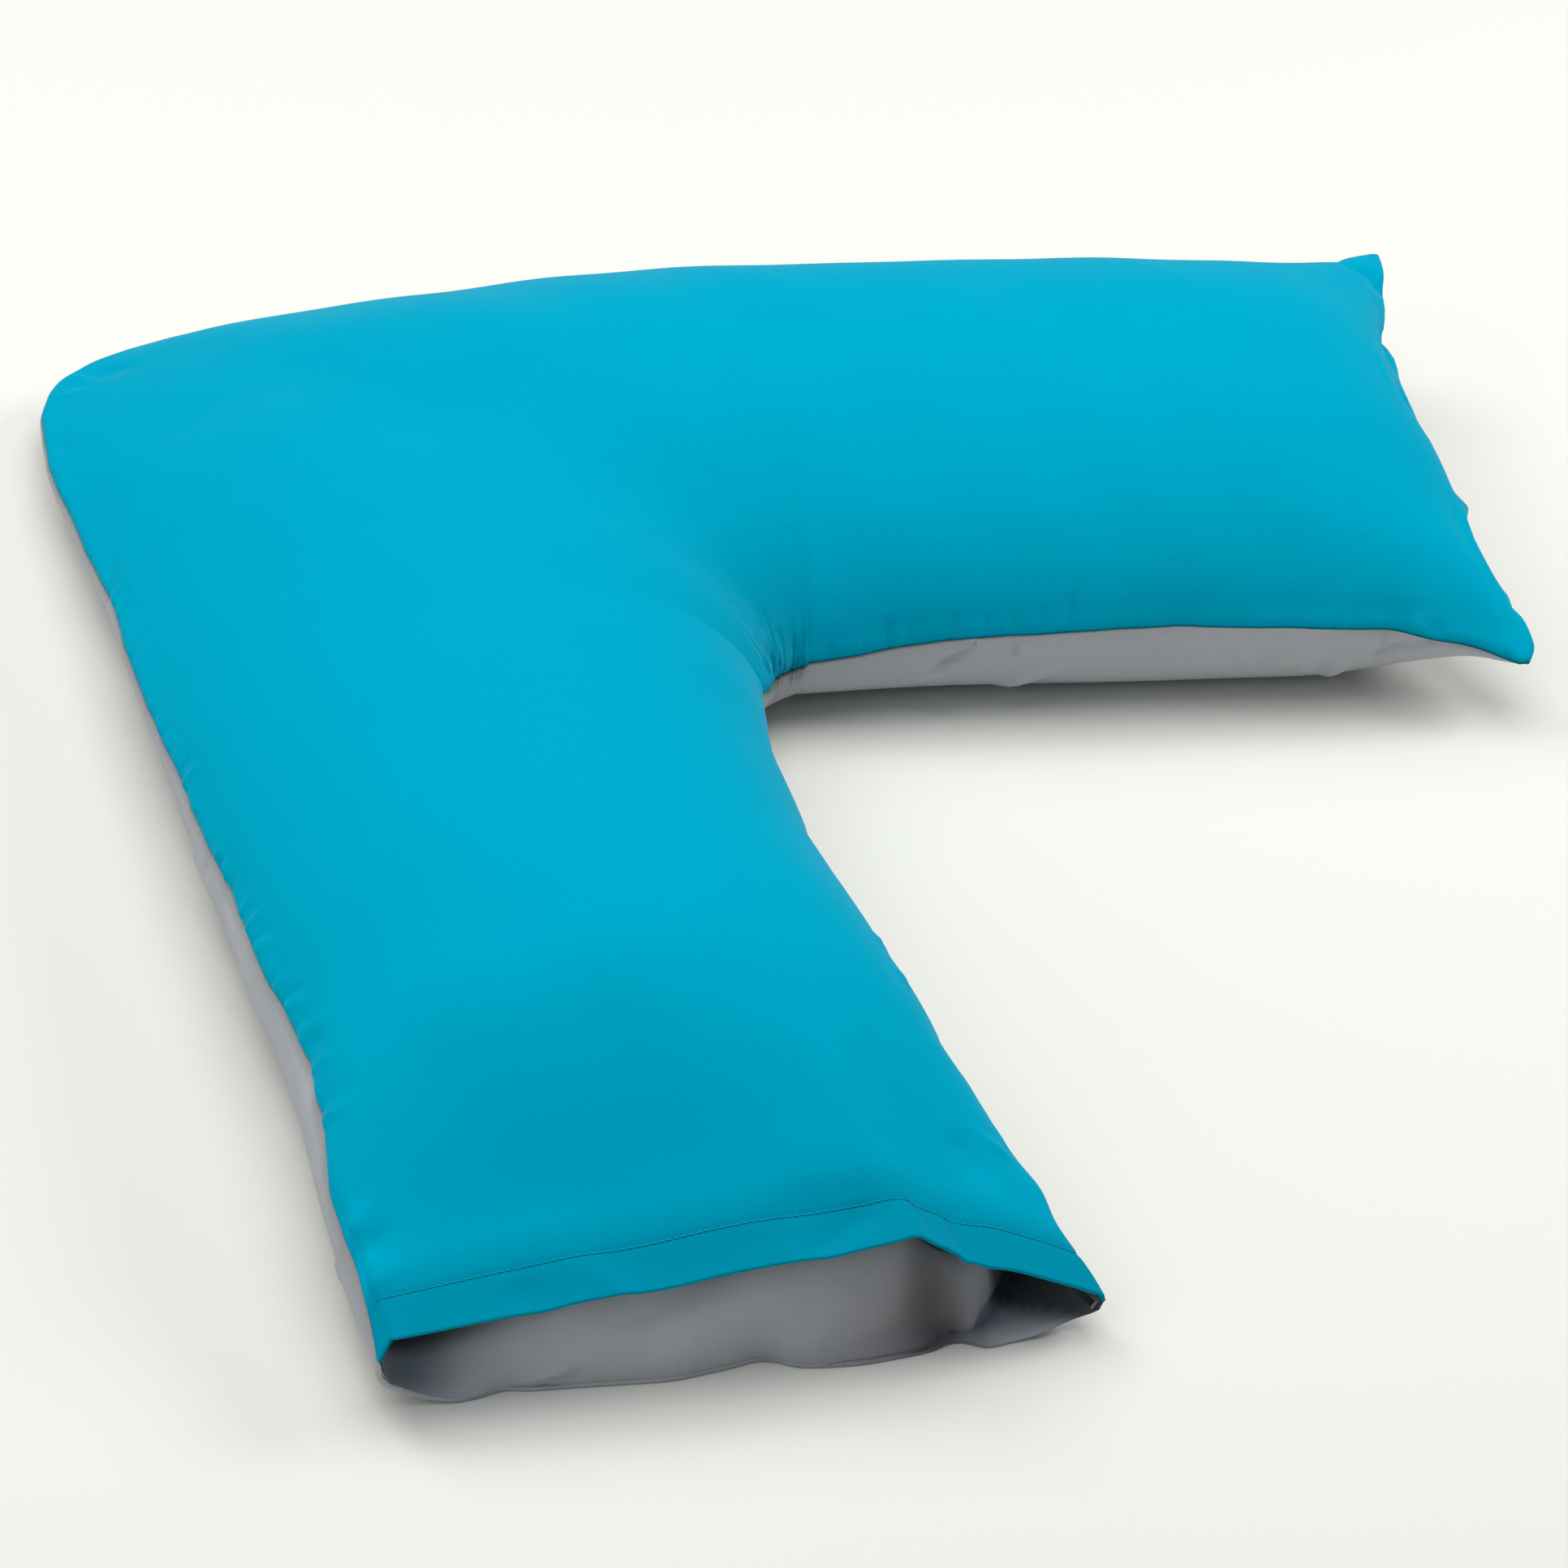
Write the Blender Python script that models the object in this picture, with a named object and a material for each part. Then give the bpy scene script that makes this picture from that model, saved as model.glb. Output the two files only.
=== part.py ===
"""V-shaped pillow lying on its back: a filled V cushion in an open-ended two-colour case.

Built the way the real one is made, as three solids in one frame (metres, Z up):
  filled_pillow  the filled cushion itself, one solid, crowned above and flat where it rests
  top_panel      the upper cloth, sewn to the lower one all round but for its hemmed mouth
  bottom_panel   the lower cloth, whose end turns in at the mouth as the tuck-in flap

Every surface is a grid over two numbers. `place` runs along the outer seam, from the closed end
of the far arm (0) round the outer corner to the mouth of the near arm. `across` runs from the
inner seam (0) to the outer seam (1).
"""

import math

import bpy
import numpy as np

for old in list(bpy.data.objects):
    bpy.data.objects.remove(old, do_unlink=True)

MM = 0.001

# Plan of the V, measured on the seams.
FAR_LEG = 0.785
NEAR_LEG = 0.822
MOUTH = FAR_LEG + NEAR_LEG
ARM_WIDTH = 0.322
OPENING_DEG = 84.2
INNER_FILLET = 0.028
CORNER_POWER = 8.0
CROWN_POWER = 3.0

# Cloth, seam and hem.
CLOTH = 1.2 * MM
HEM_CLOTH = 2.4 * MM
HEM_DEPTH = 28.0 * MM
SEAM_GAP = 0.4 * MM
SEAM_LIP = 2.0 * MM
CLOTH_GAP = 1.0 * MM

# The closed end of the far arm.
END_REACH = 0.190
END_POWER = 0.60
END_TUCK = 0.130
END_TUCK_POWER = 1.6
END_ARCH = 12.0 * MM

# The mouth of the near arm.
MOUTH_REACH = 0.125
FLAP_TUCK = 0.060
FLAP_FOLD = 3.6 * MM
FILL_BEHIND_FLAP = 7.0 * MM
POCKET_WIDE = 0.115
POCKET_DEEP = 0.080
FLAP_LEAN = 0.024

# Sizes along the pillow in mm, one row per place.
ALONG = {
    "place":       (0, 45, 110, 215, 325, 390, 510, 640, 785, 935, 1065, 1185, 1305, 1415, 1505, 1565, 1607),
    "draw_inner":  (-1, 6, 7, 6, 4, 2, 0, 0, -1, -1, 1, 10, 21, 9, -5, -25, -37),
    "draw_outer":  (-10, -1, 7, 9, 8, 5, 2, 2, 5, 3, 5, 4, 6, 11, 5, 3, 6),
    "seam_inner":  (36, 45, 55, 58, 54, 45, 40, 40, 40, 41, 45, 50, 53, 54, 47, 33, 20),
    "seam_outer":  (76, 68, 62, 58, 56, 54, 48, 39, 24, 32, 41, 46, 53, 59, 55, 42, 34),
    "crown":       (80, 82, 84, 85, 88, 91, 96, 97, 90, 90, 88, 85, 83, 81, 77, 73, 71),
    "ridge":       (50, 50, 50, 50, 49, 48, 45, 42, 41, 42, 45, 48, 49, 50, 50, 50, 50),
    "soft_inner":  (60, 60, 60, 60, 60, 60, 58, 55, 55, 55, 58, 60, 60, 60, 60, 60, 60),
    "soft_outer":  (60, 60, 60, 60, 62, 66, 78, 90, 95, 90, 78, 66, 62, 60, 60, 60, 60),
    "tuck_inner":  (43, 46, 46, 44, 48, 48, 41, 35, 34, 35, 40, 46, 48, 50, 55, 60, 62),
    "tuck_outer":  (40, 44, 48, 50, 50, 50, 55, 60, 60, 52, 44, 35, 29, 26, 26, 26, 26),
    "swell_outer": (0, 0, 0, 0, 0, 0, 0, 0, 0, 0, 1, 2, 4, 6, 5, 5, 5),
}

# How far the closed end's seam is drawn in from a straight line, in mm.
END_SEAM = {
    "across": (0.00, 0.08, 0.20, 0.35, 0.55, 0.75, 0.92, 1.00),
    "draw":   (0, -3, 12, 16, 24, 19, 6, 0),
}

# How far the hem's edge stands above the line between the mouth's corners, in mm.
HEM_EDGE = {
    "across": (0.00, 0.03, 0.15, 0.24, 0.31, 0.40, 0.60, 0.80, 0.96, 1.00),
    "rise":   (0, 5, 21, 38, 49, 44, 33, 22, 11, 0),
}

# Where the grids have a row or a column.
END_ROWS = (0, 2, 6, 14, 27, 43)
ROW_STEPS = (  # (from, to, rows) in mm along the outer seam
    (60, 165, 5), (200, 385, 6), (412, 675, 10), (695, 775, 7), (785, 875, 8),
    (900, 1190, 11), (1225, 1460, 8), (1482, 1564, 5),
)
TOP_ANGLES = (0, 10, 20, 32, 44, 56, 68, 79)
SIDE_ANGLES = (0, 15, 32, 50, 70, 90)
FLAT_COLUMNS = 5
CORE_MARGIN = 2

TEAL = (0.0, 0.371, 0.584, 1.0)
GREY = (0.305, 0.337, 0.381, 1.0)
FILL = (0.80, 0.80, 0.78, 1.0)


def curve(xs, ys, x):
    """A smooth curve through the points, with its slope taken from the neighbours."""
    xs, ys = np.asarray(xs, float), np.asarray(ys, float)
    slope = np.gradient(ys, xs)
    x = np.clip(x, xs[0], xs[-1])
    i = np.clip(np.searchsorted(xs, x, side="right") - 1, 0, len(xs) - 2)
    step = xs[i + 1] - xs[i]
    t = (x - xs[i]) / step
    return (
        ys[i] * (1 + 2 * t) * (1 - t) ** 2
        + ys[i + 1] * t * t * (3 - 2 * t)
        + step * t * (1 - t) * (slope[i] * (1 - t) - slope[i + 1] * t)
    )


def along(name, place):
    """A named column of ALONG at this place: metres for lengths, a share for the rest."""
    scale = 0.01 if name in ("ridge", "soft_inner", "soft_outer") else MM
    return curve(ALONG["place"], ALONG[name], np.asarray(place) / MM) * scale


def ease(t):
    t = np.clip(t, 0, 1)
    return t * t * (3 - 2 * t)


# The near arm lies along -Y and the far arm along FAR, at the opening angle from it.
TURN = math.radians(90.0 - OPENING_DEG)
FAR = np.array([math.cos(TURN), -math.sin(TURN)])
FAR_IN = np.array([-math.sin(TURN), -math.cos(TURN)])
NEAR, NEAR_IN = np.array([0.0, -1.0]), np.array([1.0, 0.0])
FAN = ARM_WIDTH + INNER_FILLET
FAN_CENTRE = np.array([FAN, -FAN * (1 + math.sin(TURN)) / math.cos(TURN)])
FAN_START = -FAN_CENTRE[1]


def fan_ray(place):
    """Round the bend the grid's lines fan out from one centre: their direction, and where they do."""
    place = np.asarray(place, float)[..., None]
    far = place < FAR_LEG
    from_corner = np.abs(place - FAR_LEG)
    swing = np.arctan(np.maximum(FAN_START - from_corner, 0) / FAN)
    ray = -np.where(far, FAR_IN, NEAR_IN) * np.cos(swing) - np.where(far, FAR, NEAR) * np.sin(swing)
    return ray, from_corner < FAN_START


def fan_reach(ray, power):
    """How far the rays go to both outer sides, with the corner between them rounded by the power."""
    faces = [np.maximum((ray * -side).sum(-1, keepdims=True), 0) for side in (FAR_IN, NEAR_IN)]
    return FAN * (faces[0] ** power + faces[1] ** power) ** (-1 / power)


def edges(place):
    """The inner and outer seam's points in plan at this place, on straight sides."""
    place = np.asarray(place, float)[..., None]
    far = place < FAR_LEG
    from_corner = np.abs(place - FAR_LEG)
    direction = np.where(far, FAR, NEAR)
    inward = np.where(far, FAR_IN, NEAR_IN)
    straight_outer = from_corner * direction
    straight_inner = straight_outer + ARM_WIDTH * inward

    ray, in_fan = fan_ray(place[..., 0])
    outer = np.where(in_fan, FAN_CENTRE + ray * fan_reach(ray, CORNER_POWER), straight_outer)
    inner = np.where(in_fan, FAN_CENTRE + ray * INNER_FILLET, straight_inner)
    return inner, outer


def plan(place, across):
    """The point in plan, with the drawn-in sides and end, and the width of the pillow there."""
    inner, outer = edges(place)
    span = outer - inner
    width = np.linalg.norm(span, axis=-1)
    unit = span / width[..., None]
    inner = inner + unit * along("draw_inner", place)[..., None]
    outer = outer - unit * along("draw_outer", place)[..., None]
    point = inner + (outer - inner) * np.asarray(across)[..., None]
    fade = np.clip(1 - place / END_REACH, 0, 1) ** 2
    draw_end = curve(END_SEAM["across"], END_SEAM["draw"], across) * MM * fade
    return point - draw_end[..., None] * FAR, np.linalg.norm(outer - inner, axis=-1)


def seam_height(place, across):
    low = along("seam_inner", place) * (1 - across) + along("seam_outer", place) * across
    fade = np.clip(1 - place / END_REACH, 0, 1) ** 2
    return low + END_ARCH * 4 * across * (1 - across) * fade


def dome(place, across, width):
    """0 at the seams and 1 on the ridge, rounded more or less on each side.

    Round the bend its level lines turn the corner more softly than the outer seam does.
    """
    lip = SEAM_LIP / width
    ridge = along("ridge", place)
    share = np.clip((across - lip) / (1 - 2 * lip), 0, 1)
    ray, in_fan = fan_ray(place)
    sharp, soft = fan_reach(ray, CORNER_POWER), fan_reach(ray, CROWN_POWER)
    ratio = np.where(in_fan, (sharp - INNER_FILLET) / (soft - INNER_FILLET), 1.0)[..., 0]
    share = share * (1 + (ratio - 1) * (1 - share**2))
    inner_side = share < ridge
    t = np.where(inner_side, (ridge - share) / ridge, (share - ridge) / (1 - ridge))
    power = np.where(inner_side, along("soft_inner", place), along("soft_outer", place))
    return np.clip(1 - t * t, 0, 1) ** power


def top_surface(place, across):
    """The upper cloth's outer face."""
    place, across = np.broadcast_arrays(np.asarray(place, float), np.asarray(across, float))
    point, width = plan(place, across)
    base = seam_height(place, across)
    from_end = np.clip(1 - (place - SEAM_LIP) / END_REACH, 0, 1)
    closing = (1 - from_end**2) ** END_POWER
    height = base + along("crown", place) * dome(place, across, width) * closing
    tent = base + curve(HEM_EDGE["across"], HEM_EDGE["rise"], across) * MM
    height += ease((place - MOUTH + MOUTH_REACH) / MOUTH_REACH) * (tent - height)
    return np.concatenate([point, (height + SEAM_GAP / 2 + CLOTH)[..., None]], -1)


def side_drop(inset, tuck):
    """The share of the way down to the floor, a quarter ellipse as wide as the tuck."""
    return np.sqrt(1 - np.clip(1 - inset / tuck, 0, 1) ** 2)


def bottom_surface(place, across):
    """The lower cloth's outer face, at zero height where it lies flat on the floor."""
    place, across = np.broadcast_arrays(np.asarray(place, float), np.asarray(across, float))
    point, width = plan(place, across)
    inner_drop = side_drop(np.maximum(across * width - SEAM_LIP, 0), along("tuck_inner", place))
    outer_drop = side_drop(np.maximum((1 - across) * width - SEAM_LIP, 0), along("tuck_outer", place))
    end_drop = side_drop(np.maximum(place - SEAM_LIP, 0), END_TUCK) ** END_TUCK_POWER
    height = (seam_height(place, across) - SEAM_GAP / 2 - CLOTH) * (1 - inner_drop * outer_drop * end_drop)
    inner, outer = edges(place)
    outward = (outer - inner) / np.linalg.norm(outer - inner, axis=-1, keepdims=True)
    swell = along("swell_outer", place) * np.sin(math.pi * outer_drop**1.5) * (across > 0.5)
    return np.concatenate([point + outward * swell[..., None], height[..., None]], -1)


def normals(surface, place, across, step=0.4 * MM):
    """Unit normals out of the pillow, by small steps on one of its two surfaces."""
    width = plan(place, across)[1]
    sideways = step / width
    along_place = surface(np.minimum(place + step, MOUTH), across) - surface(np.maximum(place - step, 0), across)
    over = surface(place, np.clip(across + sideways, 0, 1)) - surface(place, np.clip(across - sideways, 0, 1))
    normal = np.cross(along_place, over)
    side = -1 if surface is top_surface else 1
    return side * normal / np.linalg.norm(normal, axis=-1, keepdims=True)


def rows():
    """Places of the grid's rows: close at the closed end, the outer corner and the hem."""
    end = [x * MM for x in END_ROWS]
    middle = [x * MM for start, stop, count in ROW_STEPS for x in np.linspace(start, stop, count)]
    hem = [MOUTH - HEM_DEPTH - 0.6 * MM, MOUTH - HEM_DEPTH, MOUTH - HEM_DEPTH / 2, MOUTH]
    return np.array([*end, *middle, *hem])


def top_columns(place):
    """Shares across at each place, close together near the seams."""
    lip = SEAM_LIP / plan(place, np.zeros_like(place))[1]
    ridge = along("ridge", place)
    steps = [1 - math.cos(math.radians(a)) for a in TOP_ANGLES]
    inner = [lip + (ridge - lip) * s for s in steps]
    outer = [1 - lip - (1 - lip - ridge) * s for s in reversed(steps)]
    return np.stack([0 * lip, *inner, ridge, *outer, 1 + 0 * lip], -1)


def bottom_columns(place):
    width = plan(place, np.zeros_like(place))[1]
    steps = [1 - math.cos(math.radians(a)) for a in SIDE_ANGLES]
    inner = [(SEAM_LIP + along("tuck_inner", place) * s) / width for s in steps]
    outer = [1 - (SEAM_LIP + along("tuck_outer", place) * s) / width for s in reversed(steps)]
    flat = [inner[-1] + (outer[0] - inner[-1]) * i / (FLAT_COLUMNS + 1) for i in range(1, FLAT_COLUMNS + 1)]
    return np.stack([0 * width, *inner, *flat, *outer, 1 + 0 * width], -1)


def offset_face(outer, thickness, lip_normal):
    """The sheet's inner face: the outer one moved in by its thickness, mitred at folds.

    On the seam lip, the first and last column and the first row, it moves straight up or down.
    """
    faces = np.cross(outer[1:, :-1] - outer[:-1, 1:], outer[1:, 1:] - outer[:-1, :-1])
    faces /= np.linalg.norm(faces, axis=-1, keepdims=True)
    total = np.zeros_like(outer)
    count = np.zeros(outer.shape[:2] + (1,))
    for di in (0, 1):
        for dj in (0, 1):
            part = (slice(di, di + faces.shape[0]), slice(dj, dj + faces.shape[1]))
            total[part] += faces
            count[part] += 1
    mean = total / count
    normal = mean / np.maximum((mean**2).sum(-1, keepdims=True), 0.5)
    if (normal[len(normal) // 2, outer.shape[1] // 2, 2] > 0) != (lip_normal > 0):
        normal = -normal
    normal[:, [0, -1]] = normal[0] = (0, 0, lip_normal)
    return outer - normal * np.asarray(thickness)[..., None]


def mesh_object(name, points, faces, colour, roughness):
    """A closed mesh as one object, with its faces turned outwards and its own material."""
    points = [tuple(map(float, p)) for p in points]
    volume = 0.0
    for face in faces:
        for k in range(1, len(face) - 1):
            a, b, c = (points[i] for i in (face[0], face[k], face[k + 1]))
            volume += a[0] * (b[1] * c[2] - b[2] * c[1]) + a[1] * (b[2] * c[0] - b[0] * c[2]) + a[2] * (b[0] * c[1] - b[1] * c[0])
    if volume < 0:
        faces = [tuple(reversed(face)) for face in faces]
    mesh = bpy.data.meshes.new(name)
    mesh.from_pydata(points, [], faces)
    mesh.validate()
    obj = bpy.data.objects.new(name, mesh)
    bpy.context.scene.collection.objects.link(obj)
    material = bpy.data.materials.new(name + "_cloth")
    material.use_nodes = True
    shader = material.node_tree.nodes["Principled BSDF"]
    shader.inputs["Base Color"].default_value = colour
    shader.inputs["Roughness"].default_value = roughness
    material.diffuse_color = colour
    mesh.materials.append(material)
    return obj


def quads(rows_count, columns, used=None):
    """Grid quads by row and column number, of every column or only of the used ones at a row."""
    found = []
    for i in range(rows_count - 1):
        first, last = (0, columns - 1) if used is None else used(i)
        found += [(i * columns + j, i * columns + j + 1, (i + 1) * columns + j + 1, (i + 1) * columns + j) for j in range(first, last)]
    return found


def rim(faces):
    """The directed edges that only one face has."""
    seen = {(face[k], face[(k + 1) % len(face)]) for face in faces for k in range(len(face))}
    return [(a, b) for a, b in seen if (b, a) not in seen]


def solid_between(name, outer, inner, faces, colour, roughness, middle=None):
    """A closed body from two faces of one grid and a wall round the rim, through middle points if given."""
    outer, inner = outer.reshape(-1, 3), inner.reshape(-1, 3)
    size = len(outer)
    levels = [outer, inner] if middle is None else [outer, middle.reshape(-1, 3), inner]
    body = [tuple(face) for face in faces]
    body += [tuple(i + size * (len(levels) - 1) for i in reversed(face)) for face in faces]
    for a, b in rim(faces):
        for level in range(len(levels) - 1):
            low, high = level * size, (level + 1) * size
            body.append((b + low, a + low, a + high, b + high))
    points = np.concatenate(levels)
    used = sorted({i for face in body for i in face})
    renumber = {old: new for new, old in enumerate(used)}
    body = [tuple(renumber[i] for i in face) for face in body]
    return mesh_object(name, points[used], body, colour, roughness)


PLACES = rows()


def top_panel():
    place = PLACES[:, None]
    across = top_columns(PLACES)
    outer = top_surface(place, across)
    thickness = np.full(outer.shape[:2], CLOTH)
    thickness[PLACES >= MOUTH - HEM_DEPTH - 0.01 * MM, 3:-3] = HEM_CLOTH
    inner = offset_face(outer, thickness, 1)
    return outer, inner


def pocket_depth(across, width):
    """How far behind the mouth the turned-in end starts to rise: little in the middle, deep in the corners."""
    inset = np.minimum(across, 1 - across) * width
    return 5 * MM + POCKET_DEEP * np.clip(1 - inset / POCKET_WIDE, 0, 1) ** 2


def mouth_end(across, extra=0.0):
    """The turned-in end's rise over the filling: its foot, and the head where it meets the upper cloth.

    `extra` moves both behind the flap's outer face, for the filling itself.
    """
    width = plan(np.full_like(across, MOUTH), across)[1]
    foot = MOUTH - 1 * MM - pocket_depth(across, width) - extra
    head = foot - FLAP_LEAN - 0.25 * pocket_depth(across, width)
    return foot, head


def flap_rows(lip_across, head_across):
    """The turned-in flap's outer face from the lip inwards: fold, foot, rise and the part under the hem."""
    lip = bottom_surface(MOUTH, lip_across)
    lip_in = -normals(bottom_surface, np.full_like(lip_across, MOUTH), lip_across)
    foot_across = (lip_across + head_across) / 2
    foot, _ = mouth_end(foot_across)
    low = bottom_surface(foot, foot_across) - normals(bottom_surface, foot, foot_across) * FLAP_FOLD
    _, head = mouth_end(head_across)
    under_hem = HEM_CLOTH + 1.2 * CLOTH_GAP
    high = top_surface(head, head_across) - normals(top_surface, head, head_across) * under_hem
    found = [
        lip + lip_in * FLAP_FOLD * 0.5 + np.array([0, -1.6 * MM, 0]),
        lip + lip_in * FLAP_FOLD + np.array([0, 1.0 * MM, 0]),
        low,
    ]
    for angle in (16, 34, 52, 70, 90):
        rise, back = math.sin(math.radians(angle)), 1 - math.cos(math.radians(angle))
        mix = np.array([rise, back, rise])
        found.append(low * (1 - mix) + high * mix)
    for share in (0.5, 1.0):
        back = head - FLAP_TUCK * share
        inward = -normals(top_surface, back, head_across)
        found.append(top_surface(back, head_across) + inward * (CLOTH + 1.2 * CLOTH_GAP))
    return np.stack(found)


FLAP_FIRST = 3


def bottom_panel():
    place = PLACES[:, None]
    across = bottom_columns(PLACES)
    outer = bottom_surface(place, across)
    flap = flap_rows(across[-1], top_columns(PLACES[-1:])[0])
    whole = np.concatenate([outer, flap])
    inner = offset_face(whole, np.full(whole.shape[:2], CLOTH), -1)
    return whole, inner, len(outer)


def filling():
    """The filled cushion: inside both cloths, rounded at the mouth behind the turned-in flap."""
    keep = slice(CORE_MARGIN, -CORE_MARGIN)
    inside = PLACES[(PLACES > 5 * MM) & (PLACES < MOUTH - 0.250)]
    top, bottom = [], []
    top_across, bottom_across = top_columns(inside)[:, keep], bottom_columns(inside)[:, keep]
    for place, t_across, b_across in zip(inside, top_across, bottom_across):
        depth = CLOTH + CLOTH_GAP * (2.4 if place < 20 * MM else 1.0)
        top.append(top_surface(place, t_across) - normals(top_surface, np.full_like(t_across, place), t_across) * depth)
        bottom.append(bottom_surface(place, b_across) - normals(bottom_surface, np.full_like(b_across, place), b_across) * depth)
    t_across = top_columns(PLACES[-1:])[0, keep]
    b_across = bottom_columns(PLACES[-1:])[0, keep]
    behind = CLOTH + CLOTH_GAP
    start = inside[-1]
    foot_t, head_t = mouth_end(t_across, FILL_BEHIND_FLAP)
    foot_b, head_b = mouth_end(b_across, FILL_BEHIND_FLAP)
    first_t, first_b = top_across[-1], bottom_across[-1]
    for share in (0.2, 0.4, 0.6, 0.8, 1.0):
        place = start + (head_t - start) * share
        across = first_t + (t_across - first_t) * share
        under_flap = ease((place - head_t + FLAP_TUCK + 0.045) / 0.030)
        deep = CLOTH + CLOTH_GAP + (2.8 * CLOTH_GAP + 2 * CLOTH) * under_flap
        top.append(top_surface(place, across) - normals(top_surface, place, across) * deep[:, None])
        place = start + (head_b - start) * share
        across = first_b + (b_across - first_b) * share
        bottom.append(bottom_surface(place, across) - normals(bottom_surface, place, across) * behind)
    high = top[-1]
    foot_across = (t_across + b_across) / 2
    foot, _ = mouth_end(foot_across, FILL_BEHIND_FLAP)
    low = bottom_surface(foot, foot_across) - normals(bottom_surface, foot, foot_across) * (FLAP_FOLD + 2 * MM)
    for angle in (66, 44, 24, 8):
        rise, back = math.sin(math.radians(angle)), 1 - math.cos(math.radians(angle))
        mix = np.array([rise, back, rise])
        top.append(low * (1 - mix) + high * mix)
        place = foot_b + (head_b - foot_b) * back
        bottom.append(bottom_surface(place, b_across) - normals(bottom_surface, place, b_across) * behind)
    top, bottom = np.stack(top), np.stack(bottom)
    middle = (top + bottom) / 2
    for edge, inner in (((slice(None), 0), (slice(None), 1)), ((slice(None), -1), (slice(None), -2)), ((0,), (1,))):
        middle[edge] = 0.7 * middle[edge] + 0.3 * middle[inner]
    return top, bottom, middle


top_outer, top_inner = top_panel()
columns = top_outer.shape[1]
top_quads = quads(len(top_outer), columns)
bottom_outer, bottom_inner, panel_rows = bottom_panel()
bottom_quads = quads(
    len(bottom_outer), columns,
    lambda i: (0, columns - 1) if i < panel_rows - 1 else (FLAP_FIRST, columns - 1 - FLAP_FIRST),
)
fill_top, fill_bottom, fill_middle = filling()
fill_quads = quads(len(fill_top), fill_top.shape[1])

# The origin goes to the middle of the bounding box, on the floor.
both = np.concatenate([top_outer.reshape(-1, 3), bottom_outer[:panel_rows].reshape(-1, 3)])
CENTRE = np.array([*(both.min(0) + both.max(0))[:2] / 2, 0.0])

solid_between("top_panel", top_outer - CENTRE, top_inner - CENTRE, top_quads, TEAL, 0.75)
solid_between("bottom_panel", bottom_outer - CENTRE, bottom_inner - CENTRE, bottom_quads, GREY, 0.78)
solid_between("filled_pillow", fill_top - CENTRE, fill_bottom - CENTRE, fill_quads, FILL, 0.9, fill_middle - CENTRE)
print("pillow corner at", -CENTRE)
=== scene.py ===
# %% [markdown]
# # A v-shaped pillow in a two-colour case
#
# The pillow is a V of filled cloth that lies on its back. Its case has a teal cloth on top and a
# grey one below, sewn together along the edge of the V. The near arm's end is open: the teal cloth
# is hemmed there, and the grey cloth is longer and tucks in behind the hem as a flap.
#
# The solids of the frame already have the right size and place. This script adds what a solid
# can't show: thin cloth with puckers and folds, sewing, colour, light and a camera.

# %% Load the frame
import math

import bmesh
import bpy
import numpy as np
from mathutils import Matrix, Vector


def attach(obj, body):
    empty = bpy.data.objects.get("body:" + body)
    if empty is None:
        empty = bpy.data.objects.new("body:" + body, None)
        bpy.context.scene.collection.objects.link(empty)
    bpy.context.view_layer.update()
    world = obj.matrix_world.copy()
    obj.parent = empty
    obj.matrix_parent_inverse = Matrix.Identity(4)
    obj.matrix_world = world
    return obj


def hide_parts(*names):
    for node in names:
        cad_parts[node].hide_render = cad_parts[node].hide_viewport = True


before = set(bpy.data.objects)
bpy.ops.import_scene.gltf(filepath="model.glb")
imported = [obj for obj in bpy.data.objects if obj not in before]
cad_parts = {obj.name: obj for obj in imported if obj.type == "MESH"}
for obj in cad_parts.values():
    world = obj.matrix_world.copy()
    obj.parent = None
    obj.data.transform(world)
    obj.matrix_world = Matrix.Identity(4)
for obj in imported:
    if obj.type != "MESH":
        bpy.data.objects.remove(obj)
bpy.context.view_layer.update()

MM = 0.001

# %% [markdown]
# ## The pillow's shape as two numbers
#
# Every point of the case is found from two numbers. `place` runs along the outer seam from the
# closed end of the far arm, round the corner, to the mouth. `across` runs from the inner seam (0)
# to the outer seam (1). The tables hold measured sizes, and a smooth curve joins their rows. Most of
# them also made the solids, so the cloth fits those.

# %% Sizes of the V
FAR_LEG, NEAR_LEG = 0.785, 0.822
MOUTH = FAR_LEG + NEAR_LEG
ARM_WIDTH = 0.322
OPENING_DEG = 84.2
INNER_FILLET = 0.028
CORNER_POWER, CROWN_POWER = 8.0, 3.0
SEAM_OFFSET = 1.4 * MM  # the cloth's outer face above or below the line of the seam
OUTER_CORNER = np.array([-0.39245218, 0.41879772, 0.0])  # the outer corner, from the frame's origin

END_REACH, END_POWER = 0.190, 0.60
END_TUCK, END_TUCK_POWER, END_ARCH = 0.130, 1.6, 12 * MM
MOUTH_REACH = 0.165
FLAP_TUCK = 0.060

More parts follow.
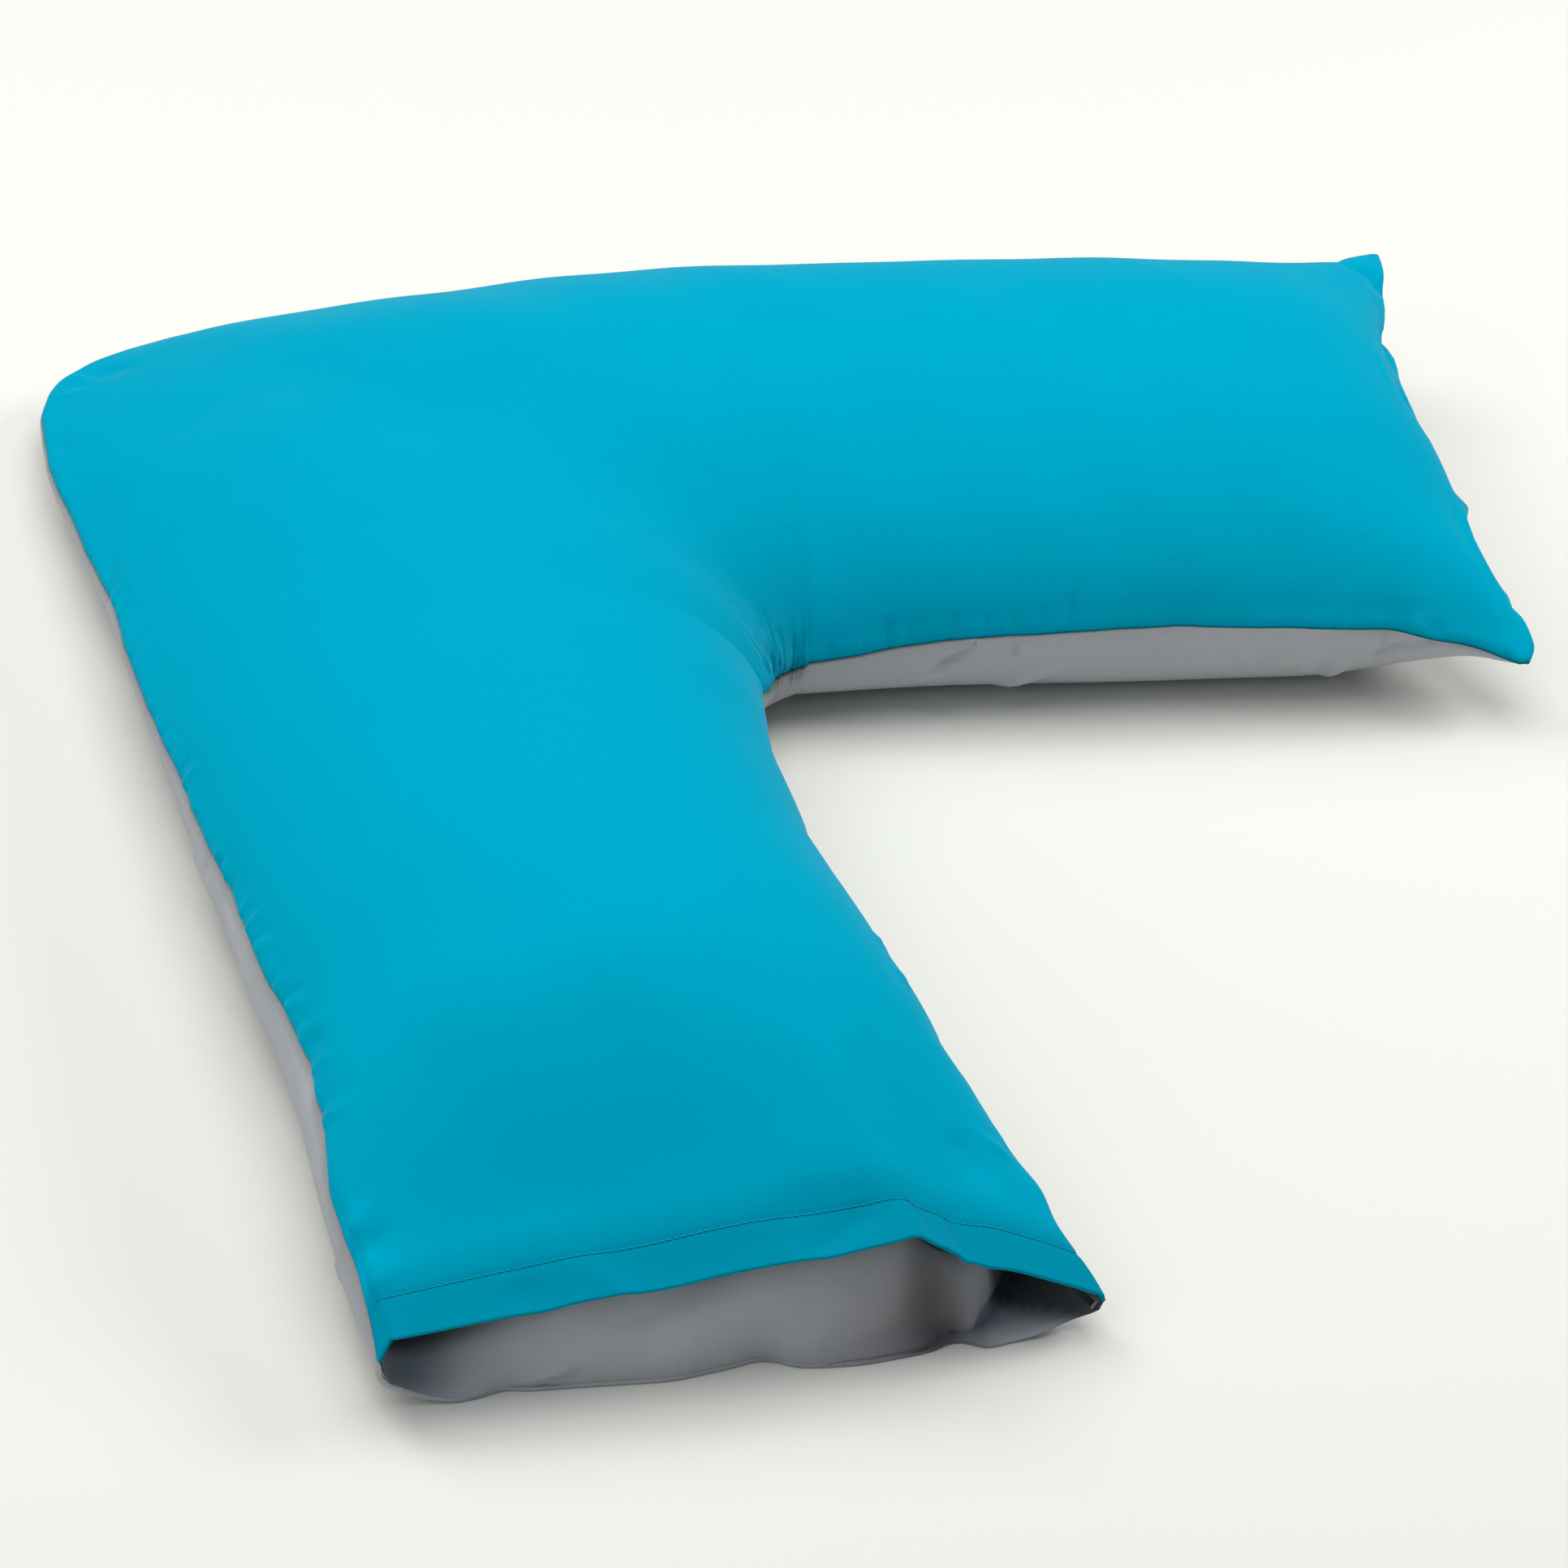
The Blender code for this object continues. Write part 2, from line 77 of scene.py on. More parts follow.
# Sizes along the pillow in mm, one column per place. Ridge and soft are in hundredths, puff and hang
# in tenths of a mm.
ALONG = {
    "place":        (0, 45, 110, 215, 325, 390, 510, 640, 785, 935, 1065, 1185, 1305, 1415, 1505, 1565, 1607),
    "draw_inner":   (-1, 6, 7, 6, 4, 2, 0, 0, -1, -1, 1, 10, 21, 9, -5, -25, -37),
    "draw_outer":   (-10, -1, 7, 9, 8, 5, 2, 2, 5, 3, 5, 4, 6, 11, 5, 3, 6),
    "seam_inner":   (37, 49, 58, 59, 54, 45, 40, 40, 40, 41, 45, 50, 53, 54, 47, 33, 20),
    "seam_outer":   (76, 68, 62, 58, 56, 54, 48, 39, 24, 32, 41, 46, 53, 59, 55, 42, 34),
    "crown":        (80, 82, 84, 85, 88, 91, 96, 97, 90, 90, 88, 85, 83, 81, 77, 73, 71),
    "ridge":        (50, 50, 50, 50, 49, 48, 45, 42, 41, 42, 45, 48, 49, 50, 50, 50, 50),
    "soft_inner":   (60, 60, 60, 60, 60, 60, 58, 55, 55, 55, 58, 60, 60, 60, 60, 60, 60),
    "soft_outer":   (60, 60, 60, 60, 62, 66, 78, 90, 95, 90, 78, 66, 62, 60, 60, 60, 60),
    "tuck_inner":   (43, 46, 46, 44, 48, 48, 41, 35, 34, 35, 40, 46, 48, 50, 55, 60, 62),
    "tuck_outer":   (40, 44, 48, 50, 50, 50, 55, 60, 64, 62, 56, 46, 37, 31, 31, 40, 48),
    "swell_outer":  (0, 0, 0, 0, 0, 0, 0, 0, 0, 0, 1, 2, 4, 6, 5, 5, 5),
    "puff_inner":   (6, 6, 6, 6, 6, 6, 7, 8, 8, 8, 8, 8, 8, 8, 8, 8, 8),
    "puff_outer":   (8, 8, 8, 8, 8, 8, 8, 8, 8, 8, 8, 8, 8, 8, 8, 8, 8),
    "hang_inner":   (24, 30, 22, 8, 4, 2, 0, 0, 0, 0, 0, 0, 0, 0, 0, 0, 0),
}
END_SEAM = {
    "across": (0.00, 0.08, 0.20, 0.35, 0.55, 0.75, 0.92, 1.00),
    "draw":   (0, -3, 12, 16, 24, 19, 6, 0),
}
HEM_EDGE = {
    "across": (0.00, 0.03, 0.08, 0.15, 0.190, 0.205, 0.25, 0.285, 0.294, 0.303, 0.34, 0.38,
               0.43, 0.56, 0.62, 0.67, 0.72, 0.82, 0.91, 0.97, 0.985, 0.994, 1.0),
    "rise":   (0, 6, 14, 24, 28, 31.5, 41.5, 48.8, 49.6, 49.4, 47, 44.5,
               42, 35, 30.5, 28, 27, 21.5, 16.5, 13.2, 12.4, 11.2, 0),
}


# %% Smooth curves through the tables
def curve(xs, ys, x):
    """A smooth curve through the points, with its slope taken from the neighbours.

    A point's y is a number or, for the flap, a whole row of points.
    """
    xs, ys = np.asarray(xs, float), np.asarray(ys, float)
    slope = np.gradient(ys, xs, axis=0)
    x = np.clip(x, xs[0], xs[-1])
    i = np.clip(np.searchsorted(xs, x, side="right") - 1, 0, len(xs) - 2)
    step = xs[i + 1] - xs[i]
    t = (x - xs[i]) / step
    step, t = (np.reshape(n, np.shape(n) + (1,) * (ys.ndim - 1)) for n in (step, t))
    return (
        ys[i] * (1 + 2 * t) * (1 - t) ** 2
        + ys[i + 1] * t * t * (3 - 2 * t)
        + step * t * (1 - t) * (slope[i] * (1 - t) - slope[i + 1] * t)
    )


def read(table, name, across):
    """A named row of a table whose first row is the share across."""
    return curve(table["across"], table[name], across)


def along(name, place):
    """A named column of ALONG at this place: metres for lengths, a share for the rest."""
    scale = 0.01 if name in ("ridge", "soft_inner", "soft_outer") else MM
    if name.startswith(("puff", "hang")):
        scale = 0.1 * MM
    return curve(ALONG["place"], ALONG[name], np.asarray(place) / MM) * scale


def ease(t):
    t = np.clip(t, 0, 1)
    return t * t * (3 - 2 * t)


def unit(v):
    return v / np.maximum(np.linalg.norm(v, axis=-1, keepdims=True), 1e-12)


# %% [markdown]
# ## The outline from above
#
# Two straight arms meet at the opening angle. Round the bend the grid's lines fan out from one
# centre, so the inner corner stays small and the outer corner stays nearly square.

# %% The plan of the V
TURN = math.radians(90.0 - OPENING_DEG)
FAR = np.array([math.cos(TURN), -math.sin(TURN)])
FAR_IN = np.array([-math.sin(TURN), -math.cos(TURN)])
NEAR, NEAR_IN = np.array([0.0, -1.0]), np.array([1.0, 0.0])
FAN = ARM_WIDTH + INNER_FILLET
FAN_CENTRE = np.array([FAN, -FAN * (1 + math.sin(TURN)) / math.cos(TURN)])
FAN_START = -FAN_CENTRE[1]


def fan_ray(place):
    """Round the bend: the direction of the grid's line from the fan's centre, and where it fans."""
    place = np.asarray(place, float)[..., None]
    far = place < FAR_LEG
    from_corner = np.abs(place - FAR_LEG)
    swing = np.arctan(np.maximum(FAN_START - from_corner, 0) / FAN)
    ray = -np.where(far, FAR_IN, NEAR_IN) * np.cos(swing) - np.where(far, FAR, NEAR) * np.sin(swing)
    return ray, from_corner < FAN_START


def fan_reach(ray, power):
    """How far the rays go to both outer sides, with the corner between them rounded by the power."""
    faces = [np.maximum((ray * -side).sum(-1, keepdims=True), 0) for side in (FAR_IN, NEAR_IN)]
    return FAN * (faces[0] ** power + faces[1] ** power) ** (-1 / power)


def edges(place):
    """The inner and outer seam's points in plan at this place, on straight sides."""
    place = np.asarray(place, float)[..., None]
    far = place < FAR_LEG
    from_corner = np.abs(place - FAR_LEG)
    straight_outer = from_corner * np.where(far, FAR, NEAR)
    straight_inner = straight_outer + ARM_WIDTH * np.where(far, FAR_IN, NEAR_IN)
    ray, in_fan = fan_ray(place[..., 0])
    outer = np.where(in_fan, FAN_CENTRE + ray * fan_reach(ray, CORNER_POWER), straight_outer)
    inner = np.where(in_fan, FAN_CENTRE + ray * INNER_FILLET, straight_inner)
    return inner, outer


def plan(place, across):
    """The point in plan, with the drawn-in sides and end, and the width of the pillow there."""
    inner, outer = edges(place)
    span = unit(outer - inner)
    inner = inner + span * (along("draw_inner", place))[..., None]
    outer = outer - span * (along("draw_outer", place))[..., None]
    point = inner + (outer - inner) * np.asarray(across)[..., None]
    fade = np.clip(1 - place / END_REACH, 0, 1) ** 2
    draw_end = read(END_SEAM, "draw", across) * MM * fade
    return point - draw_end[..., None] * FAR, np.linalg.norm(outer - inner, axis=-1)


# %% [markdown]
# ## The two faces of the case
#
# The upper face is a dome over the line of the seams. It closes towards the far end and turns into
# a low tent at the mouth, where only the hem holds it up. The lower face drops from the seams to
# the floor as a quarter ellipse and is flat where it lies.

# %% Upper and lower face
def seam_height(place, across):
    low = along("seam_inner", place) * (1 - across) + along("seam_outer", place) * across
    fade = np.clip(1 - place / END_REACH, 0, 1) ** 2
    return low + END_ARCH * 4 * across * (1 - across) * fade


def dome(place, across):
    """0 at the seams and 1 on the ridge, rounded more or less on each side."""
    ridge = along("ridge", place)
    ray, in_fan = fan_ray(place)
    sharp, soft = fan_reach(ray, CORNER_POWER), fan_reach(ray, CROWN_POWER)
    ratio = np.where(in_fan, (sharp - INNER_FILLET) / (soft - INNER_FILLET), 1.0)[..., 0]
    share = across * (1 + (ratio - 1) * (1 - across**2))
    inner_side = share < ridge
    t = np.where(inner_side, (ridge - share) / ridge, (share - ridge) / (1 - ridge))
    power = np.where(inner_side, along("soft_inner", place), along("soft_outer", place))
    return np.clip(1 - t * t, 0, 1) ** power


def top_height(place, across):
    base = seam_height(place, across)
    closing = (1 - np.clip(1 - place / END_REACH, 0, 1) ** 2) ** END_POWER
    height = base + along("crown", place) * dome(place, across) * closing
    tent = base + read(HEM_EDGE, "rise", across) * MM
    return height + ease((place - MOUTH + MOUTH_REACH) / MOUTH_REACH) * (tent - height)


def locate(spot):
    """The place and the share across of points in plan: the way back from straight-sided edges."""
    far_along, near_along = (spot * FAR).sum(-1), (spot * NEAR).sum(-1)
    from_centre = spot - FAN_CENTRE
    ray = unit(from_centre)
    far_share, near_share = -(ray * FAR_IN).sum(-1), -(ray * NEAR_IN).sum(-1)
    far = far_share > near_share
    lean = np.where(far, -(ray * FAR).sum(-1) / np.maximum(far_share, 0.1),
                    -(ray * NEAR).sum(-1) / np.maximum(near_share, 0.1))
    from_corner = np.clip(FAN_START - FAN * lean, 0, None)
    place = FAR_LEG + np.where(far, -1, 1) * from_corner
    reach = fan_reach(ray, CORNER_POWER)[..., 0]
    across = (np.linalg.norm(from_centre, axis=-1) - INNER_FILLET) / (reach - INNER_FILLET)
    for arm, line, sign, inward in ((far, far_along, -1, FAR_IN), (~far, near_along, 1, NEAR_IN)):
        straight = arm & (line > FAN_START)
        place = np.where(straight, FAR_LEG + sign * line, place)
        across = np.where(straight, 1 - (spot * inward).sum(-1) / ARM_WIDTH, across)
    return place, np.clip(across, 0, 1)


BEND_SOFT, BEND_REACH, BEND_FADE = 0.045, 0.37, 0.15  # the disc's radius, and how far from the corner
SEAM_CALM = 0.08  # the disc shrinks to nothing over this distance from a seam
DISC_POINTS, GOLDEN_ANGLE = 16, 2.399963  # this turn in radians spreads the points evenly


def top_surface(place, across):
    """The upper cloth's outer face, still without folds.

    Round the bend each height is the mean of those in a small disc about it. Filled cloth can't
    hold the sharp valley that two crossing domes would make.
    """
    place, across = np.broadcast_arrays(np.asarray(place, float), np.asarray(across, float))
    point, width = plan(place, across)
    height = top_height(place, across)
    inner, outer = edges(place)
    straight = inner + (outer - inner) * across[..., None]
    gap = np.minimum(across, 1 - across) * width
    bend = 1 - ease((np.abs(place - FAR_LEG) - BEND_REACH) / BEND_FADE)
    disc = BEND_SOFT * ease(gap / SEAM_CALM) * bend
    total = height.copy()
    for k in range(DISC_POINTS):
        turn, size = k * GOLDEN_ANGLE, math.sqrt((k + 0.5) / DISC_POINTS)
        aside = np.array([math.cos(turn), math.sin(turn)]) * size
        total = total + top_height(*locate(straight + disc[..., None] * aside))
    return np.concatenate([point, (total / (DISC_POINTS + 1) + SEAM_OFFSET)[..., None]], -1)


def side_drop(inset, tuck):
    """The share of the way down to the floor, a quarter ellipse as wide as the tuck."""
    return np.sqrt(1 - np.clip(1 - inset / tuck, 0, 1) ** 2)


def bottom_surface(place, across):
    """The lower cloth's outer face, at zero height where it lies flat on the floor."""
    place, across = np.broadcast_arrays(np.asarray(place, float), np.asarray(across, float))
    point, width = plan(place, across)
    inner_drop = side_drop(across * width, along("tuck_inner", place))
    outer_drop = side_drop((1 - across) * width, along("tuck_outer", place))
    end_drop = side_drop(place, END_TUCK) ** END_TUCK_POWER
    height = (seam_height(place, across) - SEAM_OFFSET) * (1 - inner_drop * outer_drop * end_drop)
    inner, outer = edges(place)
    swell = along("swell_outer", place) * np.sin(math.pi * outer_drop**1.5) * (across > 0.5)
    return np.concatenate([point + unit(outer - inner) * swell[..., None], height[..., None]], -1)


def normals(points, facing):
    """Unit normals of a grid of points, turned up (1) or down (-1) in the grid's middle."""
    turned = np.cross(np.gradient(points, axis=0), np.gradient(points, axis=1))
    found = unit(turned)
    if found[len(points) // 3, points.shape[1] // 2, 2] * facing < 0:
        found = -found
    return found


def point_normals(surface, place, across, facing, step=0.4 * MM):
    """Unit normals at single points, by small steps on the surface."""
    sideways = step / plan(place, across)[1]
    ahead = surface(np.minimum(place + step, MOUTH), across) - surface(np.maximum(place - step, 0), across)
    over = surface(place, np.clip(across + sideways, 0, 1)) - surface(place, np.clip(across - sideways, 0, 1))
    return -facing * unit(np.cross(ahead, over))


def inside_of(surface, place, across, facing, depth):
    """Points of the surface, moved in through the cloth by this depth."""
    return surface(place, across) - point_normals(surface, place, across, facing) * depth


# %% [markdown]
# ## A grid that is fine where the folds are
#
# The puckers stand along the seams, so the grid's columns are close together there and wide apart
# in the middle. Rows are closest at the far end, where the cloth turns down steeply.

# %% Rows and columns
END_ROWS, END_ROWS_REACH, GROWTH = 30, 0.040, 1.7


def rows_to_mouth(count):
    start = END_ROWS_REACH * (np.arange(END_ROWS) / END_ROWS) ** GROWTH
    return np.concatenate([start, np.linspace(END_ROWS_REACH, MOUTH, count - END_ROWS)])


def columns_across(count, even):
    """Shares from 0 to 1: an even spacing mixed with one that is close at both ends."""
    c = np.linspace(0, 1, count)
    return even * c + (1 - even) * 0.5 * (1 - np.cos(math.pi * c))


def columns_at_edges(edge_count, edge_share, middle_count):
    """Shares from 0 to 1: close and growing apart at both edges, even in the middle."""
    edge = edge_share * np.linspace(0, 1, edge_count) ** GROWTH
    middle = np.linspace(edge_share, 1 - edge_share, middle_count + 2)[1:-1]
    return np.concatenate([edge, middle, 1 - edge[::-1]])


def runs(points):
    """Distances along the cloth from the first row, and from the first and the last column."""
    down = np.linalg.norm(np.diff(points, axis=0), axis=-1)
    over = np.linalg.norm(np.diff(points, axis=1), axis=-1)
    from_end = np.concatenate([np.zeros((1, points.shape[1])), np.cumsum(down, 0)])
    from_inner = np.concatenate([np.zeros((len(points), 1)), np.cumsum(over, 1)], 1)
    return from_end, from_inner, from_inner[:, -1:] - from_inner


# %% [markdown]
# ## Seams that are not quite straight
#
# Sewing draws the edge in a little here and lets it out there. The closed end shows this most: its
# outline is scalloped, pinched in where the thread pulls. Both cloths get the same shifts, which
# fade out 30 to 50 mm from the seam, so they still meet. The shifts were measured on the photo's
# outline, and small regular waves lie over them.

# %% Shifts of the seams
SEAM_WAVES = {  # wavelength in mm, start, size in mm
    "inner": ((53, 0.9, 0.2), (31, 2.1, 0.15), (87, 4.0, 0.2)),
    "outer": ((47, 1.7, 0.2), (29, 0.3, 0.15), (79, 3.1, 0.2)),
}
SEAM_OUT = {  # how far each seam stands out beyond its even curve, in mm: place and shift
    "inner": ((0, 0), (30, -2.8), (54, -1), (78, -3.9), (102, -1.1), (150, 0.5), (174, 0), (198, -2),
              (222, -1.9), (250, -0.2), (294, 0), (318, -1.1), (342, -0.7), (390, 1.4), (414, 1.9),
              (450, 0.8), (510, -0.5), (560, -0.1), (600, 0.2), (654, 0.8), (702, -0.4), (726, -1.5),
              (750, 0.3), (800, 0), (860, 0), (920, 0.6), (960, 1.2), (976, -0.2), (1000, 1.4),
              (1024, 2.1), (1040, 1.2), (1072, 3.7), (1112, 4.8), (1168, 4.7), (1184, 2), (1208, -1.2),
              (1240, -3.8), (1268, 0), (1296, 1), (1312, -1.4), (1336, 1.2), (1360, 1.7), (1388, -0.3),
              (1408, -2), (1424, 0.6), (1456, 0), (1472, -2.1), (1490, 0.5), (1520, -0.6), (1536, -1.2),
              (1552, 0.4), (1568, -2.2), (1600, 0.2), (1607, 0)),
    "outer": ((0, 0), (785, 1), (800, 2.3), (832, 2.3), (864, 1.4), (880, 1.1), (912, 2.2), (944, 0.4),
              (992, 0.2), (1016, -0.4), (1040, -1.2), (1060, 0.4), (1088, 1.9), (1136, 1.8), (1160, 0.6),
              (1200, -0.8), (1232, -0.2), (1256, -0.4), (1296, -1.4), (1328, 0), (1348, 2.3), (1372, 2.8),
              (1396, 0.9), (1420, -0.2), (1440, -2), (1456, -0.4), (1472, -1.8), (1492, 0.5), (1520, 3.6),
              (1536, 1.6), (1552, -0.9), (1584, 0.8), (1600, 3.1), (1607, 4.5)),
}
END_WAVE = {  # how far the closed end's outline stands out beyond its even curve, in mm
    "across": (0.0, 0.03, 0.05, 0.09, 0.13, 0.17, 0.19, 0.22, 0.25, 0.28, 0.31, 0.34, 0.39, 0.45,
               0.48, 0.52, 0.55, 0.59, 0.65, 0.70, 0.735, 0.78, 0.84, 0.89, 0.95, 1.0),
    "out":    (0.5, 3.9, 2.1, -2.7, -4.0, -3.3, -5.5, -4.1, -2.1, 0.2, 0.2, -0.7, 0.6, 2.9,
               0.3, 0.2, 0.9, -0.8, 1.3, 0.0, -1.8, -0.2, 1.6, 2.0, 2.4, 1.1),
}
SEAM_FADE = {"inner": 50, "outer": 30, "end": 30}  # mm from the seam
WAVES_STOP, SHIFTS_START = 0.04, 0.03  # the waves fade before the mouth, and all shifts at the end


def seam_wave(side, place):
    waves = sum(size * np.sin(place / MM * 2 * math.pi / length + start)
                for length, start, size in SEAM_WAVES[side])
    places, shifts = zip(*SEAM_OUT[side])
    shift = waves * ease((MOUTH - place) / WAVES_STOP) + curve(places, shifts, place / MM)
    return shift * MM * ease(place / SHIFTS_START)


def shifted(grid):
    """The grid's points with its edges moved in and out in plan, fading away from the seams."""
    def fading(side, gap):
        return np.clip(1 - gap / (SEAM_FADE[side] * MM), 0, 1) ** 2

    aside = (seam_wave("outer", grid.place) * fading("outer", grid.from_outer)
             - seam_wave("inner", grid.place) * fading("inner", grid.from_inner))
    end = read(END_WAVE, "out", grid.across) * MM * fading("end", grid.from_end)
    moved = grid.points.copy()
    moved[..., :2] += grid.outwards * aside[..., None] + FAR * end[..., None]
    return moved


# %% [markdown]
# ## Folds laid one by one
#
# Each fold is a short line on the cloth with a height and a width. A ridge has a height above
# zero and a trough below it. Points near the line move along the cloth's own normal by a soft bell
# curve of their distance from it. The line's last part fades out, and its first part too where it
# starts away from a seam. The tables are grouped by the edge that the folds are measured from.

# %% Fold tables: height and width, then points by place and distance from the seam, all in mm
# On the closed end ("end") a point's first number is the share across in thousandths.
TOP_FOLDS = {
    "outer": (
        (1.0, 2.4, (989, 5), (963, 14), (946, 16)),
        (1.7, 3.4, (1044, 3), (1039, 11), (1017, 23), (992, 26)),
        (1.0, 2.0, (1058, 1), (1051, 15), (1022, 24)),
        (-1.0, 2.2, (1033, 3), (1008, 14)),
        (1.2, 2.2, (1094, 0), (1083, 10), (1067, 19)),
        (-0.9, 2.0, (1100, 1), (1090, 10), (1078, 18)),
        (1.1, 2.0, (1106, 1), (1101, 10), (1087, 20)),
        (1.0, 1.9, (1146, 0), (1133, 8)),
        (1.6, 2.2, (1162, 0), (1155, 8), (1144, 19)),
        (-1.1, 1.9, (1167, 2), (1162, 11)),
        (1.1, 2.0, (1176, 0), (1172, 9)),
        (1.2, 2.2, (1190, 0), (1187, 10), (1184, 17)),
        (-1.3, 2.0, (1200, 1), (1200, 15)),
        (1.8, 2.3, (1210, 1), (1210, 10), (1210, 20)),
        (0.9, 1.9, (1233, 1), (1233, 9)),
        (0.9, 1.9, (1255, 0), (1255, 7)),
        (1.4, 2.1, (1271, 2), (1275, 13)),
        (-1.2, 1.9, (1277, 1), (1280, 10)),
        (1.5, 2.0, (1289, 0), (1283, 5), (1285, 12)),
        (-1.1, 2.0, (1296, 0), (1300, 10)),
        (1.5, 2.0, (1319, 1), (1319, 10), (1319, 17)),
        (1.8, 2.3, (1332, 1), (1332, 14), (1335, 21)),
        (1.2, 2.1, (1337, 0), (1335, 7), (1334, 17)),
        (-1.1, 1.7, (1342, 2), (1348, 16)),
        (1.1, 3.1, (1348, 0), (1362, 19)),
        (-0.7, 1.7, (1373, 0), (1376, 12)),
        (1.1, 2.0, (1380, 0), (1380, 7), (1382, 16)),
        (-1.3, 2.0, (1389, 2), (1400, 22)),
        (1.0, 2.5, (1396, 2), (1410, 22)),
        (-0.8, 1.6, (1410, 2), (1414, 16)),
        (1.2, 3.4, (1419, 3), (1428, 28)),
        (-1.1, 3.1, (1428, 4), (1437, 20)),
        (1.2, 3.7, (1443, 3), (1453, 26)),
        (-0.7, 2.0, (1469, 0), (1473, 9)),
        (1.2, 3.7, (1477, 1), (1484, 20), (1487, 32)),
        (-2.0, 3.5, (1544, -2), (1544, 5)),
        (2.2, 4.5, (1555, 0), (1548, 3), (1546, 8), (1541, 15), (1532, 26)),
        (-2.2, 6.0, (1562, 4), (1555, 21), (1548, 34)),
        (1.8, 4.5, (1582, 4), (1578, 12), (1573, 22), (1568, 30)),
        (1.4, 3.5, (790, 4), (795, 26)),
        (1.4, 4.0, (829, 6), (819, 17), (813, 30)),
        (-1.2, 5.0, (883, 4), (897, 16)),
        (-2.0, 8.0, (783, 8), (781, 27), (758, 48)),
        (1.6, 6.0, (1606, 122), (1590, 106), (1580, 98)),
        (-1.7, 9.0, (1606, 86), (1598, 80), (1588, 76)),
        (-4.5, 9.0, (44, -2), (34, 8), (22, 16)),
    ),
    "inner": (
        (-1.3, 2.2, (767, 2), (808, 12), (910, 21), (1017, 31)),
        (0.9, 1.9, (700, 2), (740, 13), (790, 20)),
        (-1.1, 1.8, (656, 0), (711, 14)),
        (-1.0, 2.1, (626, 8), (631, 22), (677, 29)),
        (-1.0, 2.8, (493, 0), (520, 22)),
        (1.0, 2.6, (443, 0), (450, 12)),
        (-1.0, 2.4, (388, 0), (388, 10)),
        (-1.3, 2.2, (356, 0), (356, 18)),
        (1.0, 2.1, (351, 0), (348, 10)),
        (-0.9, 2.6, (322, 1), (320, 16)),
        (1.0, 2.2, (310, 0), (307, 10)),
        (-1.0, 2.1, (304, 0), (302, 14)),
        (-0.8, 2.4, (289, 0), (290, 15)),
        (-0.8, 2.4, (273, 0), (273, 18)),
        (-0.8, 2.6, (259, 0), (259, 22)),
        (0.6, 3.0, (109, 2), (104, 24)),
        (-1.2, 4.5, (54, -2), (54, 8)),
        (0.9, 4.0, (64, 0), (67, 10)),
        (1.4, 4.5, (1404, 32), (1410, 31), (1420, 28)),
        (1.4, 4.5, (1430, 33), (1440, 32), (1450, 30)),
        (1.6, 3.5, (1540, 12), (1534, 29), (1526, 40)),
        (-2.0, 9.0, (1535, 52), (1552, 46), (1566, 38)),
        (-4.4, 18.0, (1587, 190), (1586, 150), (1585, 118), (1584, 84), (1584, 50)),
        (2.4, 4.0, (1607, 118), (1588, 110), (1570, 106), (1552, 98)),
        (-2.2, 4.5, (1607, 84), (1588, 80), (1572, 73)),
        (-2.2, 7.0, (1603, 158), (1590, 132), (1578, 118)),
        (2.4, 4.0, (15, -2), (17, 10), (20, 24), (23, 40)),
    ),
    "end": (
        (-5.5, 5.5, (735, -2), (690, 14), (620, 20), (560, 29)),
        (-5.5, 5.5, (430, -2), (450, 16), (480, 30), (545, 32)),
        (1.6, 5.0, (620, 34), (560, 44), (490, 46), (440, 34)),
        (-7.0, 7.0, (868, -2), (895, 12), (930, 24), (955, 36)),
        (4.0, 4.5, (310, -2), (256, 20), (213, 21), (130, 23), (86, 20)),
        (-4.5, 5.0, (205, -2), (180, 10), (140, 12), (105, 9)),
        (-2.0, 5.0, (96, -2), (90, 10), (60, 11)),
    ),
}
UNDER_FOLDS = {
    "outer": (
        (2.0, 5.0, (1228, 12), (1244, 16), (1269, 17), (1285, 22)),
        (-2.0, 3.5, (1256, 8), (1262, 9), (1270, 8)),
        (2.0, 5.0, (1287, 1), (1310, 10), (1332, 19), (1360, 23), (1390, 16), (1409, 8)),
        (2.2, 4.0, (1405, 6), (1432, 12), (1462, 12), (1480, 10), (1490, 4)),
        (1.3, 2.6, (1487, 7), (1497, 16), (1518, 30)),
        (-2.6, 4.0, (1536, 2), (1519, 24)),
        (2.0, 4.0, (1540, 6), (1535, 30)),
        (1.6, 4.5, (1545, 12), (1577, 8), (1603, 8)),
    ),
    "inner": (
        (-3.8, 3.0, (307, 2), (322, 13), (331, 22)),
        (3.5, 3.4, (303, 9), (327, 24), (335, 38)),
        (-3.2, 3.2, (288, 9), (280, 9)),
        (3.5, 5.0, (292, 48), (268, 31), (243, 27)),
        (-2.6, 4.0, (286, 54), (262, 39), (243, 37)),
        (2.7, 3.0, (121, 40), (111, 17)),
        (2.7, 3.5, (108, 50), (91, 13)),
        (2.4, 3.0, (84, 2), (88, 29)),
        (-3.5, 3.5, (54, 0), (73, 11), (90, 22)),
    ),
}

# %% From fold tables to heights
END_ACROSS = 330  # mm from seam to seam at the closed end
PROBES, FOLD_STEP = 500, 1.5  # points tried to find a distance; mm between the points of a fold's line
FOLD_REACH = 3  # a fold ends this many widths away
FADE_OUT, FADE_IN = 0.6, 0.3  # shares of the line


